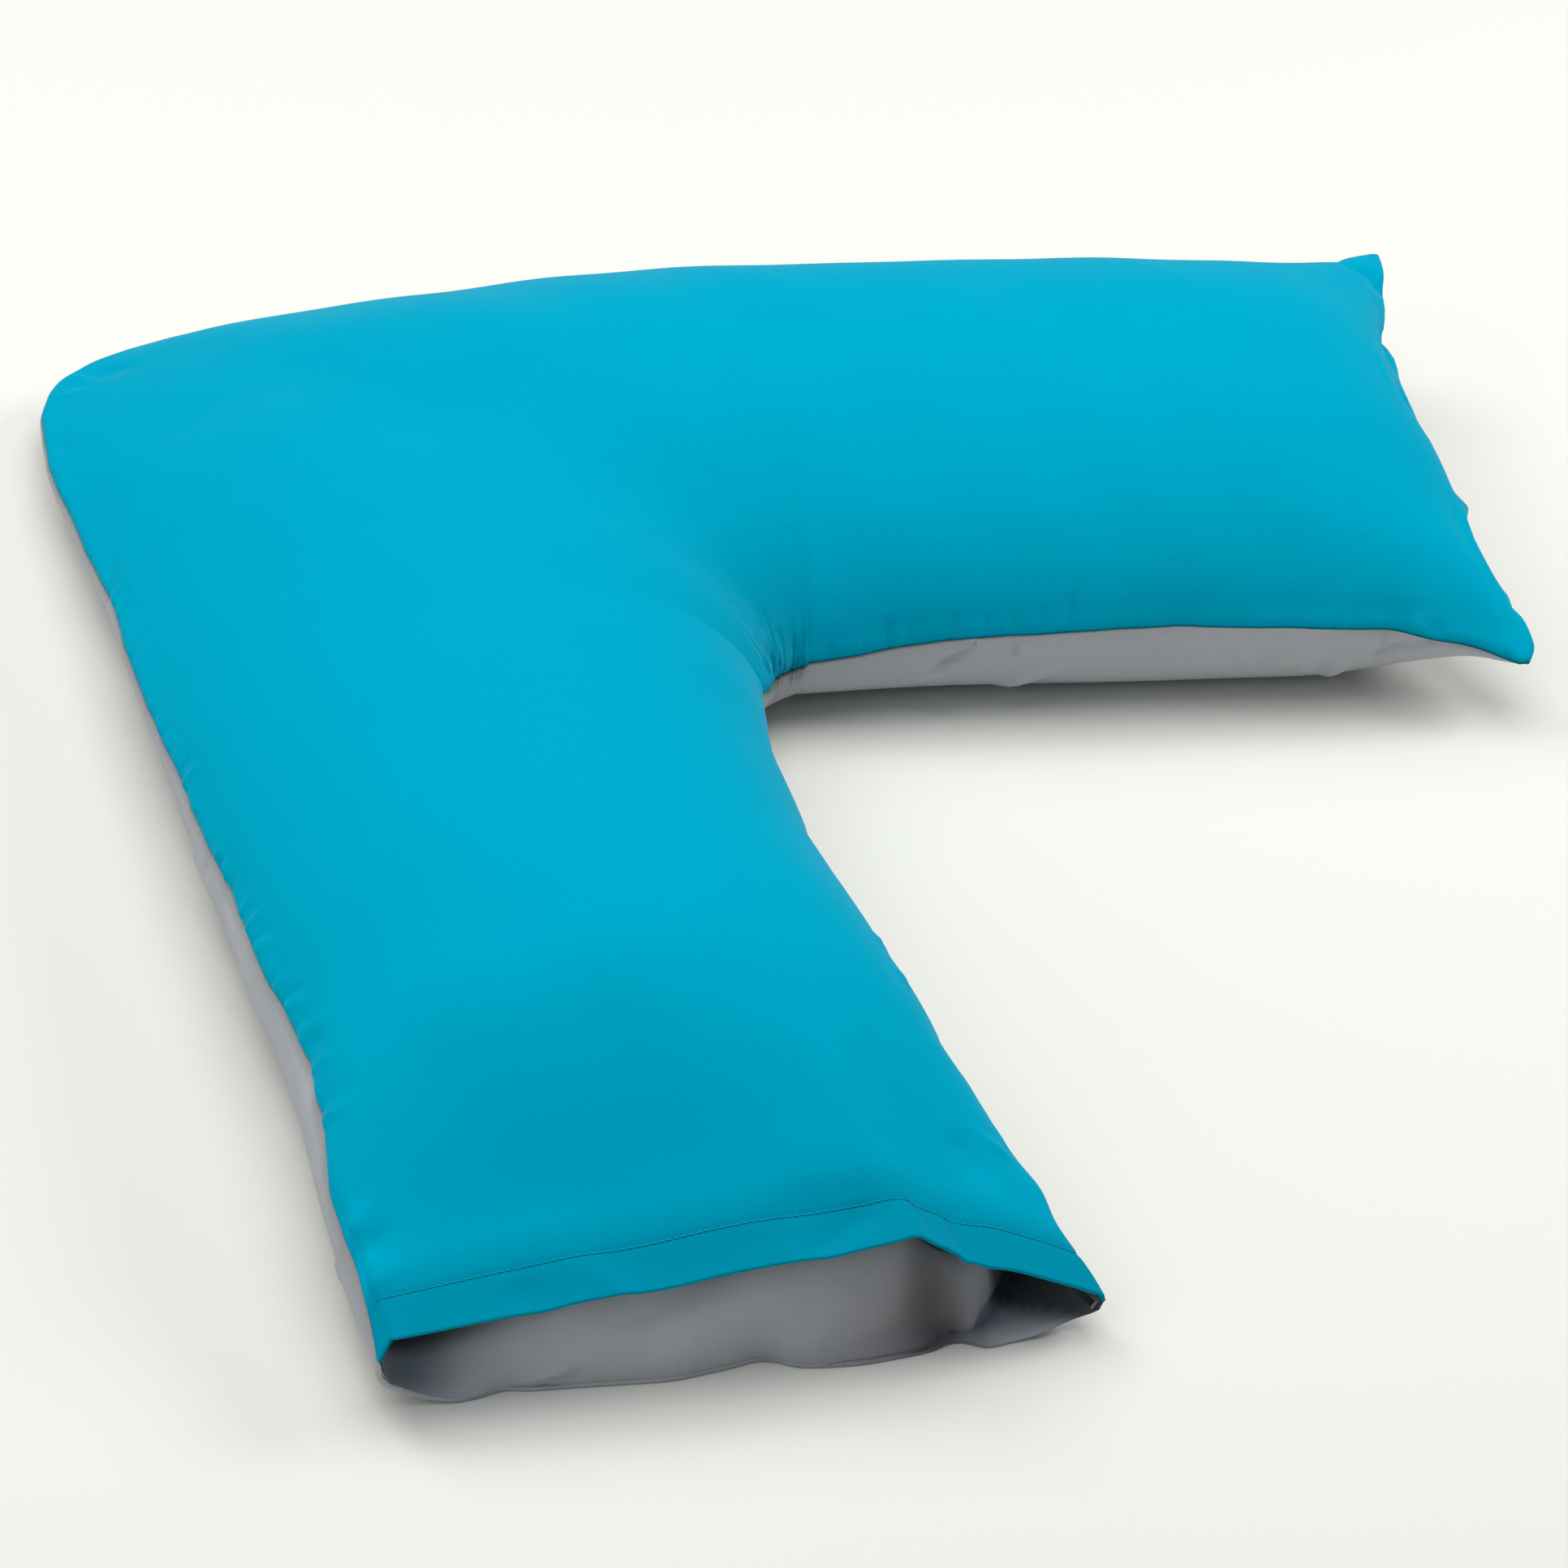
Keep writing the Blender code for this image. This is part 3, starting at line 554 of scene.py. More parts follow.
def fold_line(surface, side, points):
    """The fold's line on the cloth, with each point's share of the way along."""
    def on_cloth(first, second):
        return surface(second, first) if side == "end" else surface(first, second)

    firsts, gaps = np.array(points, float).T * MM
    fine = np.linspace(0, 1, PROBES) ** 1.5 * (0.2 if side == "end" else 0.5)
    shares = np.broadcast_to(1 - fine if side == "outer" else fine, (len(firsts), PROBES))
    probes = on_cloth(np.broadcast_to(firsts[:, None], shares.shape), shares)
    steps = np.linalg.norm(np.diff(probes, axis=1), axis=-1)
    seconds = [np.interp(max(gap, 0), np.concatenate([[0], np.cumsum(step)]), row)
               for gap, step, row in zip(gaps, steps, shares)]
    sideways = np.diff(firsts) * END_ACROSS * MM if side == "end" else np.diff(firsts)
    at = np.concatenate([[0], np.cumsum(np.hypot(sideways, np.diff(gaps)))])
    t = np.linspace(0, 1, max(int(at[-1] / FOLD_STEP / MM), 6))
    line = on_cloth(np.interp(t * at[-1], at, firsts), np.interp(t * at[-1], at, seconds))
    return line, t, gaps[0] > 3 * MM and firsts[0] < MOUTH - 8 * MM


def fold_heights(points, surface, tables):
    """How far each point of the grid moves along its normal, from all the folds together."""
    total = np.zeros(points.shape[:2])
    for side, height, width, *line_points in ((side, *fold) for side in tables for fold in tables[side]):
        line, t, free = fold_line(surface, side, line_points)
        reach = FOLD_REACH * width * MM
        near = np.all((points > line.min(0) - reach) & (points < line.max(0) + reach), axis=-1)
        if not near.any():
            continue
        gaps = np.linalg.norm(points[near][:, None] - line[None], axis=-1)
        along_line = t[gaps.argmin(1)]
        fade = ease((1 - along_line) / FADE_OUT)
        if free:
            fade = fade * ease(along_line / FADE_IN)
        total[near] += height * MM * fade * np.exp(-((gaps.min(1) / (width * MM)) ** 2))
    return total


# %% [markdown]
# ## Cloth between the folds
#
# No real cloth is perfectly smooth. A few long, low waves keep the broad faces from looking
# turned. Beside each seam the cloth puffs up a little before it turns in to the thread.

# %% Low waves and the sewn edge
rng = np.random.default_rng(11)
LOW_WAVES = [(rng.uniform(60, 210), rng.uniform(0, math.pi), rng.uniform(0, 6.3)) for _ in range(14)]


def low_waves(points):
    x, y = points[..., 0] / MM, points[..., 1] / MM
    total = 0
    for length, way, start in LOW_WAVES:
        total = total + np.sin((x * math.cos(way) + y * math.sin(way)) * 2 * math.pi / length + start)
    return total / math.sqrt(len(LOW_WAVES)) * 0.7 * MM


PUFF_WIDE = 12 * MM  # the puff beside a seam
LINE_START, LINE_DEEP = 5 * MM, 0.25 * MM  # the faint hollow on it
TURN_WIDE, TURN_IN = 2.6 * MM, 1.1 * MM  # the turn at the seam itself


def sewn_edge(grid, puffs):
    """Near each seam the cloth puffs out a little and then turns in to the line of the seam.

    puffs: how far it puffs beside the inner seam, the outer seam and the closed end.
    """
    gaps = grid.from_inner, grid.from_outer, grid.from_end
    bulge = np.max([puff * np.sin(math.pi * np.clip(gap / PUFF_WIDE, 0, 1))
                    for gap, puff in zip(gaps, puffs)], axis=0)
    hollow = (LINE_DEEP * ease((grid.from_seam - LINE_START) / (1.5 * MM))
              * ease((PUFF_WIDE - grid.from_seam) / (6 * MM)))
    out = bulge * ease(grid.from_seam / (4 * MM)) - hollow
    moved = grid.points + normals(grid.points, grid.facing) * out[..., None]
    for gap, way in zip(gaps, (grid.outwards, -grid.outwards, -FAR)):
        moved[..., :2] += way * (np.clip(1 - gap / TURN_WIDE, 0, 1) ** 2 * TURN_IN)[..., None]
    turn = np.clip(1 - grid.from_seam / TURN_WIDE, 0, 1) ** 2
    moved[..., 2] -= grid.facing * turn * (SEAM_OFFSET - 0.1 * MM)
    return moved


# %% The grid of one cloth
class ClothGrid:
    """A cloth's points, with both numbers of each point and its distances from the seams."""

    def __init__(self, surface, facing, row_count, columns, mouth_even, change):
        """change: where before the mouth the columns start to even out, and over what length."""
        place = rows_to_mouth(row_count)[:, None]
        near_mouth = ease((place - MOUTH + change[0]) / change[1])
        at_mouth = columns_across(len(columns), mouth_even)
        across = columns[None] * (1 - near_mouth) + at_mouth[None] * near_mouth
        self.surface, self.facing = surface, facing
        self.points = surface(place, across)
        self.place, self.across = np.broadcast_arrays(place, across)
        self.from_end, self.from_inner, self.from_outer = runs(self.points)
        self.from_seam = np.minimum(np.minimum(self.from_inner, self.from_outer), self.from_end)
        inner, outer = edges(self.place)
        self.outwards = unit(outer - inner)

    def folded(self, tables):
        """How far the folds move each point. The seam itself stays where both cloths meet."""
        return fold_heights(self.points, self.surface, tables) * ease(self.from_seam / (2.5 * MM))

    def sew(self, raised, puffs):
        """Moves the points along their normals, then shifts and turns in the sewn edges."""
        self.points = self.points + normals(self.points, self.facing) * raised[..., None]
        self.points = shifted(self)
        self.points = sewn_edge(self, puffs)


# %% [markdown]
# ## From a grid to a sheet
#
# A sheet has two faces and an edge. The outer face is the fine grid. The inner face uses every
# second point of it, moved in by the cloth's thickness, which saves over a third of the triangles.

# %% Build a sheet
CLOTH_THICK = 0.8 * MM


def linked(name, data):
    """A new object with this data, in the scene."""
    obj = bpy.data.objects.new(name, data)
    bpy.context.scene.collection.objects.link(obj)
    return obj


def mesh_of(name, points, faces, edges=()):
    mesh = bpy.data.meshes.new(name)
    mesh.from_pydata(points, edges, faces)
    mesh.polygons.foreach_set("use_smooth", np.ones(len(mesh.polygons), bool))
    return mesh


def odd_rows(grid):
    """The grid without its last row if the count is even, because the inner face skips every other."""
    return grid if len(grid) % 2 else grid[:-1]


def sheet_object(name, outside, facing, layers):
    """A closed thin sheet. layers: two numbers of each grid point, kept as a UV map."""
    count_rows, count_columns = outside.shape[:2]
    inside = (outside - normals(outside, facing) * CLOTH_THICK)[::2, ::2]
    fine = np.arange(count_rows * count_columns).reshape(count_rows, count_columns)
    coarse = fine.size + np.arange(inside.shape[0] * inside.shape[1]).reshape(inside.shape[:2])

    def grid_quads(numbers, back):
        quads = np.stack([numbers[:-1, :-1], numbers[:-1, 1:], numbers[1:, 1:], numbers[1:, :-1]], -1)
        quads = quads.reshape(-1, 4)
        return quads[:, ::-1] if back else quads

    mid = count_rows // 3, count_columns // 2
    turned = np.cross(outside[mid[0] + 1, mid[1]] - outside[mid], outside[mid[0], mid[1] + 1] - outside[mid])
    back = turned[2] * facing > 0
    quads = np.concatenate([grid_quads(fine, back), grid_quads(coarse, not back)])
    rims = []
    for edge, inner, flip in ((fine[0], coarse[0], False), (fine[-1], coarse[-1], True),
                              (fine[:, 0], coarse[:, 0], True), (fine[:, -1], coarse[:, -1], False)):
        a, b, c = edge[:-2:2], edge[1:-1:2], edge[2::2]
        p, q = inner[:-1], inner[1:]
        tris = np.concatenate([np.stack([a, p, b], -1), np.stack([b, p, q], -1), np.stack([b, q, c], -1)])
        rims.append(tris if flip != back else tris[:, ::-1])
    rims = np.concatenate(rims)
    points = np.concatenate([outside.reshape(-1, 3), inside.reshape(-1, 3)]) + OUTER_CORNER
    mesh = mesh_of(name, points.tolist(), quads.tolist() + rims.tolist())
    corner_points = np.empty(len(mesh.loops), np.int32)
    mesh.loops.foreach_get("vertex_index", corner_points)
    for layer, pair in layers.items():
        both = [np.concatenate([n.reshape(-1), n[::2, ::2].reshape(-1)])[corner_points] for n in pair]
        uv = mesh.uv_layers.new(name=layer)
        uv.data.foreach_set("uv", np.stack(both, -1).astype(np.float32).reshape(-1))
    mesh.update()
    print(name, len(quads) * 2 + len(rims), "triangles")
    return linked(name, mesh)


# %% [markdown]
# ## The teal cloth
#
# It is one piece of cloth on top of the V. At the mouth its edge is turned under and sewn down as
# a hem, so the grid goes on past the edge, round a small fold and back underneath.

# %% Teal top cloth
HEM_BACK, HEM_RADIUS, HEM_STITCH = 24 * MM, 1.0 * MM, 21 * MM
CALM = 0.06  # the low waves fade out over this distance from the seams and the mouth

top = ClothGrid(top_surface, 1, 980, columns_at_edges(26, 0.13, 25), 0.5, (0.11, 0.06))
calm = np.clip(top.from_seam / CALM, 0, 1) * ease((MOUTH - top.place) / CALM)
top_puffs = along("puff_inner", top.place), along("puff_outer", top.place), 0.9 * MM
top.sew(top.folded(TOP_FOLDS) + low_waves(top.points) * calm, top_puffs)

# The front edge of the far arm hangs a little over the grey cloth.
hang = along("hang_inner", top.place) * np.clip(1 - top.from_inner / (7 * MM), 0, 1)
hang = hang * ease(top.from_end / (8 * MM))
top.points[..., :2] -= top.outwards * hang[..., None]
top.points[..., 2] -= 0.5 * hang
print("top cloth", top.points.shape, "from", (top.points.min((0, 1)) / MM).round(1),
      "to", (top.points.max((0, 1)) / MM).round(1))


# %% The hem: a trough for the stitches, then the fold under
STITCH_HOLLOW_WIDE, STITCH_HOLLOW_DEEP = 1.3 * MM, 0.5 * MM


def hemmed(points):
    """The grid with its last edge turned under."""
    normal = normals(points, 1)
    from_mouth = (MOUTH - top.place)[..., None]
    hollow = np.exp(-(((from_mouth - HEM_STITCH) / STITCH_HOLLOW_WIDE) ** 2))
    points = points - normal * hollow * STITCH_HOLLOW_DEEP
    edge, out = points[-1], unit(points[-1] - points[-3])
    turned = []
    for angle in np.radians((30, 65, 100, 140, 180)):
        down, ahead = HEM_RADIUS * (1 - math.cos(angle)), HEM_RADIUS * math.sin(angle)
        turned.append(edge - normal[-1] * down + out * ahead)
    back = []
    for i in range(len(points) - 2, 0, -1):
        if MOUTH - top.place[i, 0] > HEM_BACK:
            break
        back.append(points[i] - normal[i] * 2 * HEM_RADIUS)
    return np.concatenate([points, np.stack(turned + back)])


def carried_on(numbers, count):
    """A number per grid point, repeated from the last row for the rows past the mouth."""
    return np.concatenate([numbers, np.repeat(numbers[-1:], count, 0)])


top_with_hem = odd_rows(hemmed(top.points))
extra = len(top_with_hem) - len(top.points)
teal_cloth = sheet_object("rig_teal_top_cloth", top_with_hem, 1, {
    "cloth": (carried_on(top.place, extra), carried_on(top.from_inner, extra)),
    "seam": (carried_on(top.place, extra), carried_on(top.from_seam, extra)),
})

# %% [markdown]
# ## The grey cloth and its flap
#
# The lower cloth is longer than the upper one. Past the mouth it folds up, rises in front of the
# filling and goes on behind the hem. The grid simply continues over those rows.

# %% The flap's rows
LIP = {  # how far the lip stands out of the mouth's line, and the flap's belly out of the lip, in mm
    "across": (0.0, 0.04, 0.09, 0.13, 0.17, 0.19, 0.21, 0.235, 0.30, 0.34, 0.39, 0.435, 0.46, 0.48,
               0.51, 0.55, 0.60, 0.66, 0.74, 0.79, 0.83, 0.856, 0.89, 0.925, 0.97, 1.0),
    "out":    (0, -2, 1, 2, 3, -1, -2, 1, 4, 5, 4, 1, -4, -5,
               -3, -1, 1, 0, -2, -3, -5, -3, -1, -2, -3, 0),
    "belly":  (0, 0, 0, 0, 3, 5, 4, 1, 1, 0, 0, 0, 3, 4,
               3, 3, 3, 3, 3, 3, 4, 3, 2, 0, 0, 0),
}
FLAP_LEAN = {  # how far the flap's head lies behind its foot, in mm
    "across": (0.0, 0.10, 0.18, 0.25, 0.33, 0.42, 0.55, 0.70, 0.80, 0.88, 0.94, 1.0),
    "lean":   (20, 12, 6, 8, 16, 26, 31, 30, 33, 42, 58, 74),
}
FLAP_FOLDS = (  # height, width in mm, then the share across and the share up the flap
    (4.4, 5.5, (0.184, 0.0), (0.172, 0.3), (0.160, 0.65), (0.150, 1.0)),
    (-4.5, 18.0, (0.236, 0.25), (0.226, 0.5), (0.212, 0.95)),
    (1.6, 5.0, (0.410, 0.25), (0.385, 0.4), (0.365, 0.55)),
    (-2.5, 14.0, (0.342, 0.05), (0.27, 0.25), (0.218, 0.5)),
    (2.5, 16.0, (0.588, 0.42), (0.45, 0.7), (0.30, 0.95)),
    (-1.6, 10.0, (0.64, 0.55), (0.55, 0.85), (0.50, 1.0)),
    (1.8, 3.0, (0.835, 0.03), (0.79, 0.13), (0.75, 0.22)),
    (-1.4, 3.5, (0.825, 0.0), (0.775, 0.07), (0.73, 0.16)),
    (1.4, 4.0, (0.765, 0.95), (0.772, 0.6)),
    (-1.4, 5.0, (0.785, 0.95), (0.79, 0.65)),
)


# %% The flap's foot, head and pocket
MOUTH_WIDTH = plan(MOUTH, 0.5)[1]
CORNER_REACH = 0.10
POCKET_DEEP, POCKET_WIDE, POCKET_POWER, FOOT_BACK = 60 * MM, 90 * MM, 1.6, 0.5 * MM


def from_outer_corner(across):
    """1 in the mouth's outer corner and 0 from 100 mm away."""
    return ease(1 - (1 - across) * MOUTH_WIDTH / CORNER_REACH)


def pocket_depth(across):
    """How far behind the mouth the flap starts to rise: deep in the pocket of the inner corner."""
    pocket = np.clip(1 - across * MOUTH_WIDTH / POCKET_WIDE, 0, 1) ** POCKET_POWER
    return FOOT_BACK + POCKET_DEEP * pocket


def mouth_end(across):
    """The flap's foot, and the head where it meets the upper cloth."""
    foot = MOUTH - pocket_depth(across)
    return foot, foot - read(FLAP_LEAN, "lean", across) * MM


def lip_shift(across):
    """The mouth's lower lip in plan, out of the mouth's straight line."""
    return np.outer(read(LIP, "out", across) * MM, NEAR)


# %% The flap's surface
FOOT_WIDE, HEAD_WIDE = 0.98, 0.965  # the foot's share of the mouth's width, the head's of the foot's
FORWARD = np.array([0, -1.0, 0])
LIP_SHARE = np.array([1] * 6 + [0.9, 0.75, 0.5, 0.3, 0.1] + [0] * 4)  # how far each row follows the lip
FLAP_HIGH = 0.075  # the flap's height as its fold table counts it


def flap_curve(across):
    """Rows of the flap's outer face from the lip inwards, as control rows for a smooth curve."""
    mouth = np.full_like(across, MOUTH)
    lip = bottom_surface(mouth, across)
    lip_in = -point_normals(bottom_surface, mouth, across, -1)
    foot_across = 0.5 + (across - 0.5) * FOOT_WIDE
    head_across = 0.5 + (foot_across - 0.5) * HEAD_WIDE
    foot, head = mouth_end(foot_across)
    belly = read(LIP, "belly", across)[:, None] * MM
    corner = from_outer_corner(foot_across)[:, None]
    free = ease(np.minimum(across, 1 - across) * MOUTH_WIDTH / (18 * MM))[:, None]  # 0 at both seams
    rows = [lip, lip + (lip_in * 0.4 + FORWARD * (0.2 + 0.3 * free)) * MM,
            lip + (lip_in * (0.9 + 0.4 * free) + FORWARD * (0.1 + 0.3 * free)) * MM]
    # Over the lower cloth from the lip to the foot, 2.4 to 3 mm inside it
    for share in (0.33, 0.67, 1.0):
        place = MOUTH - share * (MOUTH - foot)
        rows.append(inside_of(bottom_surface, place, foot_across, -1, (3.0 - 0.6 * free) * MM))
    # Up in front of the filling, round like a belly, and hollow in the outer corner
    low = rows[-1]
    head_deep = np.minimum(4 * MM + (foot - head) / 4, 8.2 * MM)[:, None]
    high = inside_of(top_surface, head, head_across, 1, head_deep)
    for angle in np.radians((10, 20, 32, 46, 60, 75, 90)):
        up, back = math.sin(angle), 1 - math.cos(angle)
        rise, lean = up + (back - up) * corner, back + (up - back) * corner
        mix = np.concatenate([rise, lean, rise], 1)
        rows.append(low * (1 - mix) + high * mix + FORWARD * belly * math.sin(2 * angle))
    # On under the upper cloth, a shorter way in the outer corner
    for share in (0.5, 1.0):
        place = head - FLAP_TUCK * share * (1 - 0.75 * corner[:, 0])
        rows.append(inside_of(top_surface, place, head_across, 1, (8.5 + 2 * corner) * MM))
    rows = np.stack(rows)
    rows[..., :2] += LIP_SHARE[:, None, None] * lip_shift(across)
    return rows


def smooth_rows(controls, count):
    """More rows on a smooth curve through the control rows."""
    steps = np.linalg.norm(np.diff(controls[:, controls.shape[1] // 2], axis=0), axis=-1)
    least = np.where((np.arange(len(steps)) >= 2) & (np.arange(len(steps)) < 5), 5, 1) * MM
    at = np.concatenate([[0], np.cumsum(np.maximum(steps, least))])
    return curve(at, controls, np.linspace(0, at[-1], count))


def flap_folds(rows, across):
    """The flap with its folds, soft bells about short lines on it."""
    steps = np.linalg.norm(np.diff(rows, axis=0), axis=-1)
    up = np.concatenate([np.zeros((1, rows.shape[1])), np.cumsum(steps, 0)])
    aside = np.broadcast_to(across * MOUTH_WIDTH, up.shape)
    total = np.zeros(up.shape)
    for height, wide, *line in FLAP_FOLDS:
        shares = np.array(line)
        at = np.linspace(0, len(line) - 1, 30)
        xs, ys = (np.interp(at, range(len(line)), shares[:, k]) * (MOUTH_WIDTH, FLAP_HIGH)[k] for k in (0, 1))
        gap = np.sqrt((aside[..., None] - xs) ** 2 + (up[..., None] - ys) ** 2).min(-1)
        total += height * MM * np.exp(-((gap / (wide * MM)) ** 2))
    front = unit(np.cross(np.gradient(rows, axis=0), np.gradient(rows, axis=1)))
    if front[len(rows) // 4, rows.shape[1] // 2, 1] > 0:
        front = -front
    return rows + front * (total * ease(up / 0.014))[..., None]


# %% Grey lower cloth
FLAP_ROWS = 90

under = ClothGrid(bottom_surface, -1, 840, columns_at_edges(32, 0.19, 15), 0.65, (0.16, 0.12))
lifted = np.clip(under.points[..., 2] / (12 * MM), 0, 1)  # no folds where it lies on the floor
under.sew(under.folded(UNDER_FOLDS) * lifted, [0.7 * MM] * 3)
under.points[..., 2] = np.maximum(under.points[..., 2], 0)
mouth_across = under.across[-1]
mouth_fade = ease((under.place - MOUTH + 0.05) / 0.05)
under.points[..., :2] += mouth_fade[..., None] * lip_shift(mouth_across)

controls = flap_curve(mouth_across)
flap = flap_folds(smooth_rows(controls, FLAP_ROWS), mouth_across)[1:]
flap += (under.points[-1] - controls[0]) * np.linspace(1, 0, len(flap))[:, None, None] ** 12
under_all = odd_rows(np.concatenate([under.points, flap]))
extra = len(under_all) - len(under.points)

# %% The grey cloth's UV maps and its painted shade
# Painted shade on the flap: it starts this far behind the mouth, and the painted shade of the hem's peak lies
# in front of that.
FLAP_PAINTED_SHADE = {  # how far behind the mouth the cloth turns dark, in mm, and the shade in front of that
    "across": (0, 0.05, 0.10, 0.14, 0.18, 0.22, 0.30, 0.72, 0.81, 0.88, 0.92, 1.0),
    "shade":  (0, 0, 0, 0, 0.60, 0.80, 0.44, 0, 0, 0, 0, 0),
    "behind": (-30, -8, 8, 26, 40, 50, 60, 14, 10, 14, 18, 20),
}
# The painted shade at its darkest deep in the pockets, and at the tip of the mouth's inner corner.
DARKEST_PAINTED_SHADE, TIP_PAINTED_SHADE = 0.92, 0.9

middle = under_all[len(under.points) - 1:, under_all.shape[1] // 2]
grown = np.cumsum(np.linalg.norm(np.diff(middle, axis=0), axis=-1))
cloth_place = np.concatenate([under.place, MOUTH + np.repeat(grown[:, None], len(mouth_across), 1)])
# The inside map is painted shade: dark deep in the mouth's pockets, in the shade of the hem's peak, and at
# the tip of the inner corner.
behind = NEAR_LEG - (flap[..., :2] * NEAR).sum(-1)
deep = ease((behind / MM - read(FLAP_PAINTED_SHADE, "behind", mouth_across)) / (20 - 11 * mouth_across))
dark = np.maximum(DARKEST_PAINTED_SHADE * deep, read(FLAP_PAINTED_SHADE, "shade", mouth_across))
tip_shade = ease((under.place - MOUTH + 8 * MM) / (3 * MM)) * ease((9 * MM - under.from_inner) / (3 * MM))
inside = np.concatenate([TIP_PAINTED_SHADE * tip_shade, dark])[:len(under_all)]
grey_cloth = sheet_object("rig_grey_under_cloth", under_all, -1, {
    "cloth": (cloth_place, carried_on(under.from_inner, extra)),
    "seam": (cloth_place, carried_on(under.from_seam, extra)),
    # painted shade, from 0 to 1
    "inside": (inside, inside),
})

# %% [markdown]
# ## The filling
#
# The cushion inside is a plain white pillow of the same V. It is one strip of grid: along the
# bottom from the closed end, up behind the flap and back along the top. Its edges then meet and
# are welded, which closes it. It stays some millimetres inside both cloths, so it never shows.

# %% White filling
FILL_TOP, FILL_UNDER, FILL_FLAP, FILL_EDGE = 13.0 * MM, 9.0 * MM, 9.0 * MM, 14.0 * MM
FILL_START = 14 * MM


def on_seam_line(place, across):
    """Points at the height of the seams, inside the pillow."""
    return np.concatenate([plan(place, across)[0], seam_height(place, across)[:, None]], -1)


def filling_rows(surface, facing, inset_depth, last):
    """Rows from the closed end to the mouth, inside one face of the case."""
    across = columns_across(61, 0.35)[None]
    share = (np.linspace(0, 1, 150) ** 1.15)[:, None]
    place = FILL_START + (last(across) - FILL_START) * share
    edge_share = FILL_EDGE / plan(place, np.broadcast_to(across, place.shape))[1]
    across = edge_share + across * (1 - 2 * edge_share)
    depth = inset_depth * np.clip(share * 12 + 0.7, 0, 1)
    found = inside_of(surface, place, across, facing, depth[..., None])
    for edge in (0, -1):  # both faces end on one line inside the seam
        found[:, edge] = on_seam_line(place[:, edge], across[:, edge])
    found[0] = on_seam_line(np.full(across.shape[1], FILL_START), across[0])
    found[0, [0, -1]] = found[0, [1, -2]] * 0.5 + found[0, [0, -1]] * 0.5
    return found


def fill_foot(across):
    """The filling stands back where the flap is hollow."""
    foot, head = mouth_end(across)
    return foot - FILL_FLAP - (foot - head) * from_outer_corner(across)


def fill_head(across):
    """Where the filling's upper face ends. At both seams that is where its lower face ends."""
    middle = ease(across * (1 - across) * 8)
    return fill_foot(across) * (1 - middle) + (mouth_end(across)[1] - FILL_FLAP) * middle


bottom_fill = filling_rows(bottom_surface, -1, FILL_UNDER, fill_foot)
top_fill = filling_rows(top_surface, 1, FILL_TOP, fill_head)
top_fill[-1, [0, -1]] = bottom_fill[-1, [0, -1]]
rise = []
for angle in np.radians(np.linspace(0, 90, 14)[1:-1]):
    up, back = math.sin(angle), 1 - math.cos(angle)
    mix = np.array([back * 0.7 + up * 0.3, back, up])
    rise.append(bottom_fill[-1] * (1 - mix) + top_fill[-1] * mix)
strip = np.concatenate([bottom_fill, np.stack(rise), top_fill[::-1]])
numbers = np.arange(strip.shape[0] * strip.shape[1]).reshape(strip.shape[:2])
fill_quads = np.stack([numbers[:-1, :-1], numbers[1:, :-1], numbers[1:, 1:], numbers[:-1, 1:]], -1)
fill_points = strip.reshape(-1, 3) + OUTER_CORNER
fill_mesh = mesh_of("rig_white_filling", fill_points.tolist(), fill_quads.reshape(-1, 4).tolist())
work = bmesh.new()
work.from_mesh(fill_mesh)
bmesh.ops.remove_doubles(work, verts=work.verts, dist=0.05 * MM)
bmesh.ops.recalc_face_normals(work, faces=work.faces)
print("filling: open edges", sum(not e.is_manifold for e in work.edges), "volume in litres",
      round(work.calc_volume() * 1000, 2))
work.to_mesh(fill_mesh)
work.free()
filling = linked("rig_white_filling", fill_mesh)

# %% [markdown]
# ## Shader sums that read like sums
#
# A shader is a graph of small nodes. This class wraps one output of a node, so that `a * b + 0.5`
# adds the Math nodes by itself.

# %% A socket that can be added and multiplied
class Signal:
    def __init__(self, tree, socket):
        self.tree, self.socket = tree, socket

    def sum(self, operation, other, swapped=False):
        node = self.tree.nodes.new("ShaderNodeMath")
        node.operation = operation
        for slot, value in zip(node.inputs, (other, self) if swapped else (self, other)):
            plug(self.tree, slot, value)
        return Signal(self.tree, node.outputs[0])

    def __add__(self, other):
        return self.sum("ADD", other)

    def __radd__(self, other):
        return self.sum("ADD", other, swapped=True)

    def __mul__(self, other):
        return self.sum("MULTIPLY", other)

    def __rmul__(self, other):
        return self.sum("MULTIPLY", other, swapped=True)

    def power(self, other):
        return self.sum("POWER", other)


def plug(tree, slot, value):
    """Links a Signal to a slot, or sets the slot to a plain value."""
    if isinstance(value, Signal):
        tree.links.new(value.socket, slot)
    elif value is not None:
        slot.default_value = value


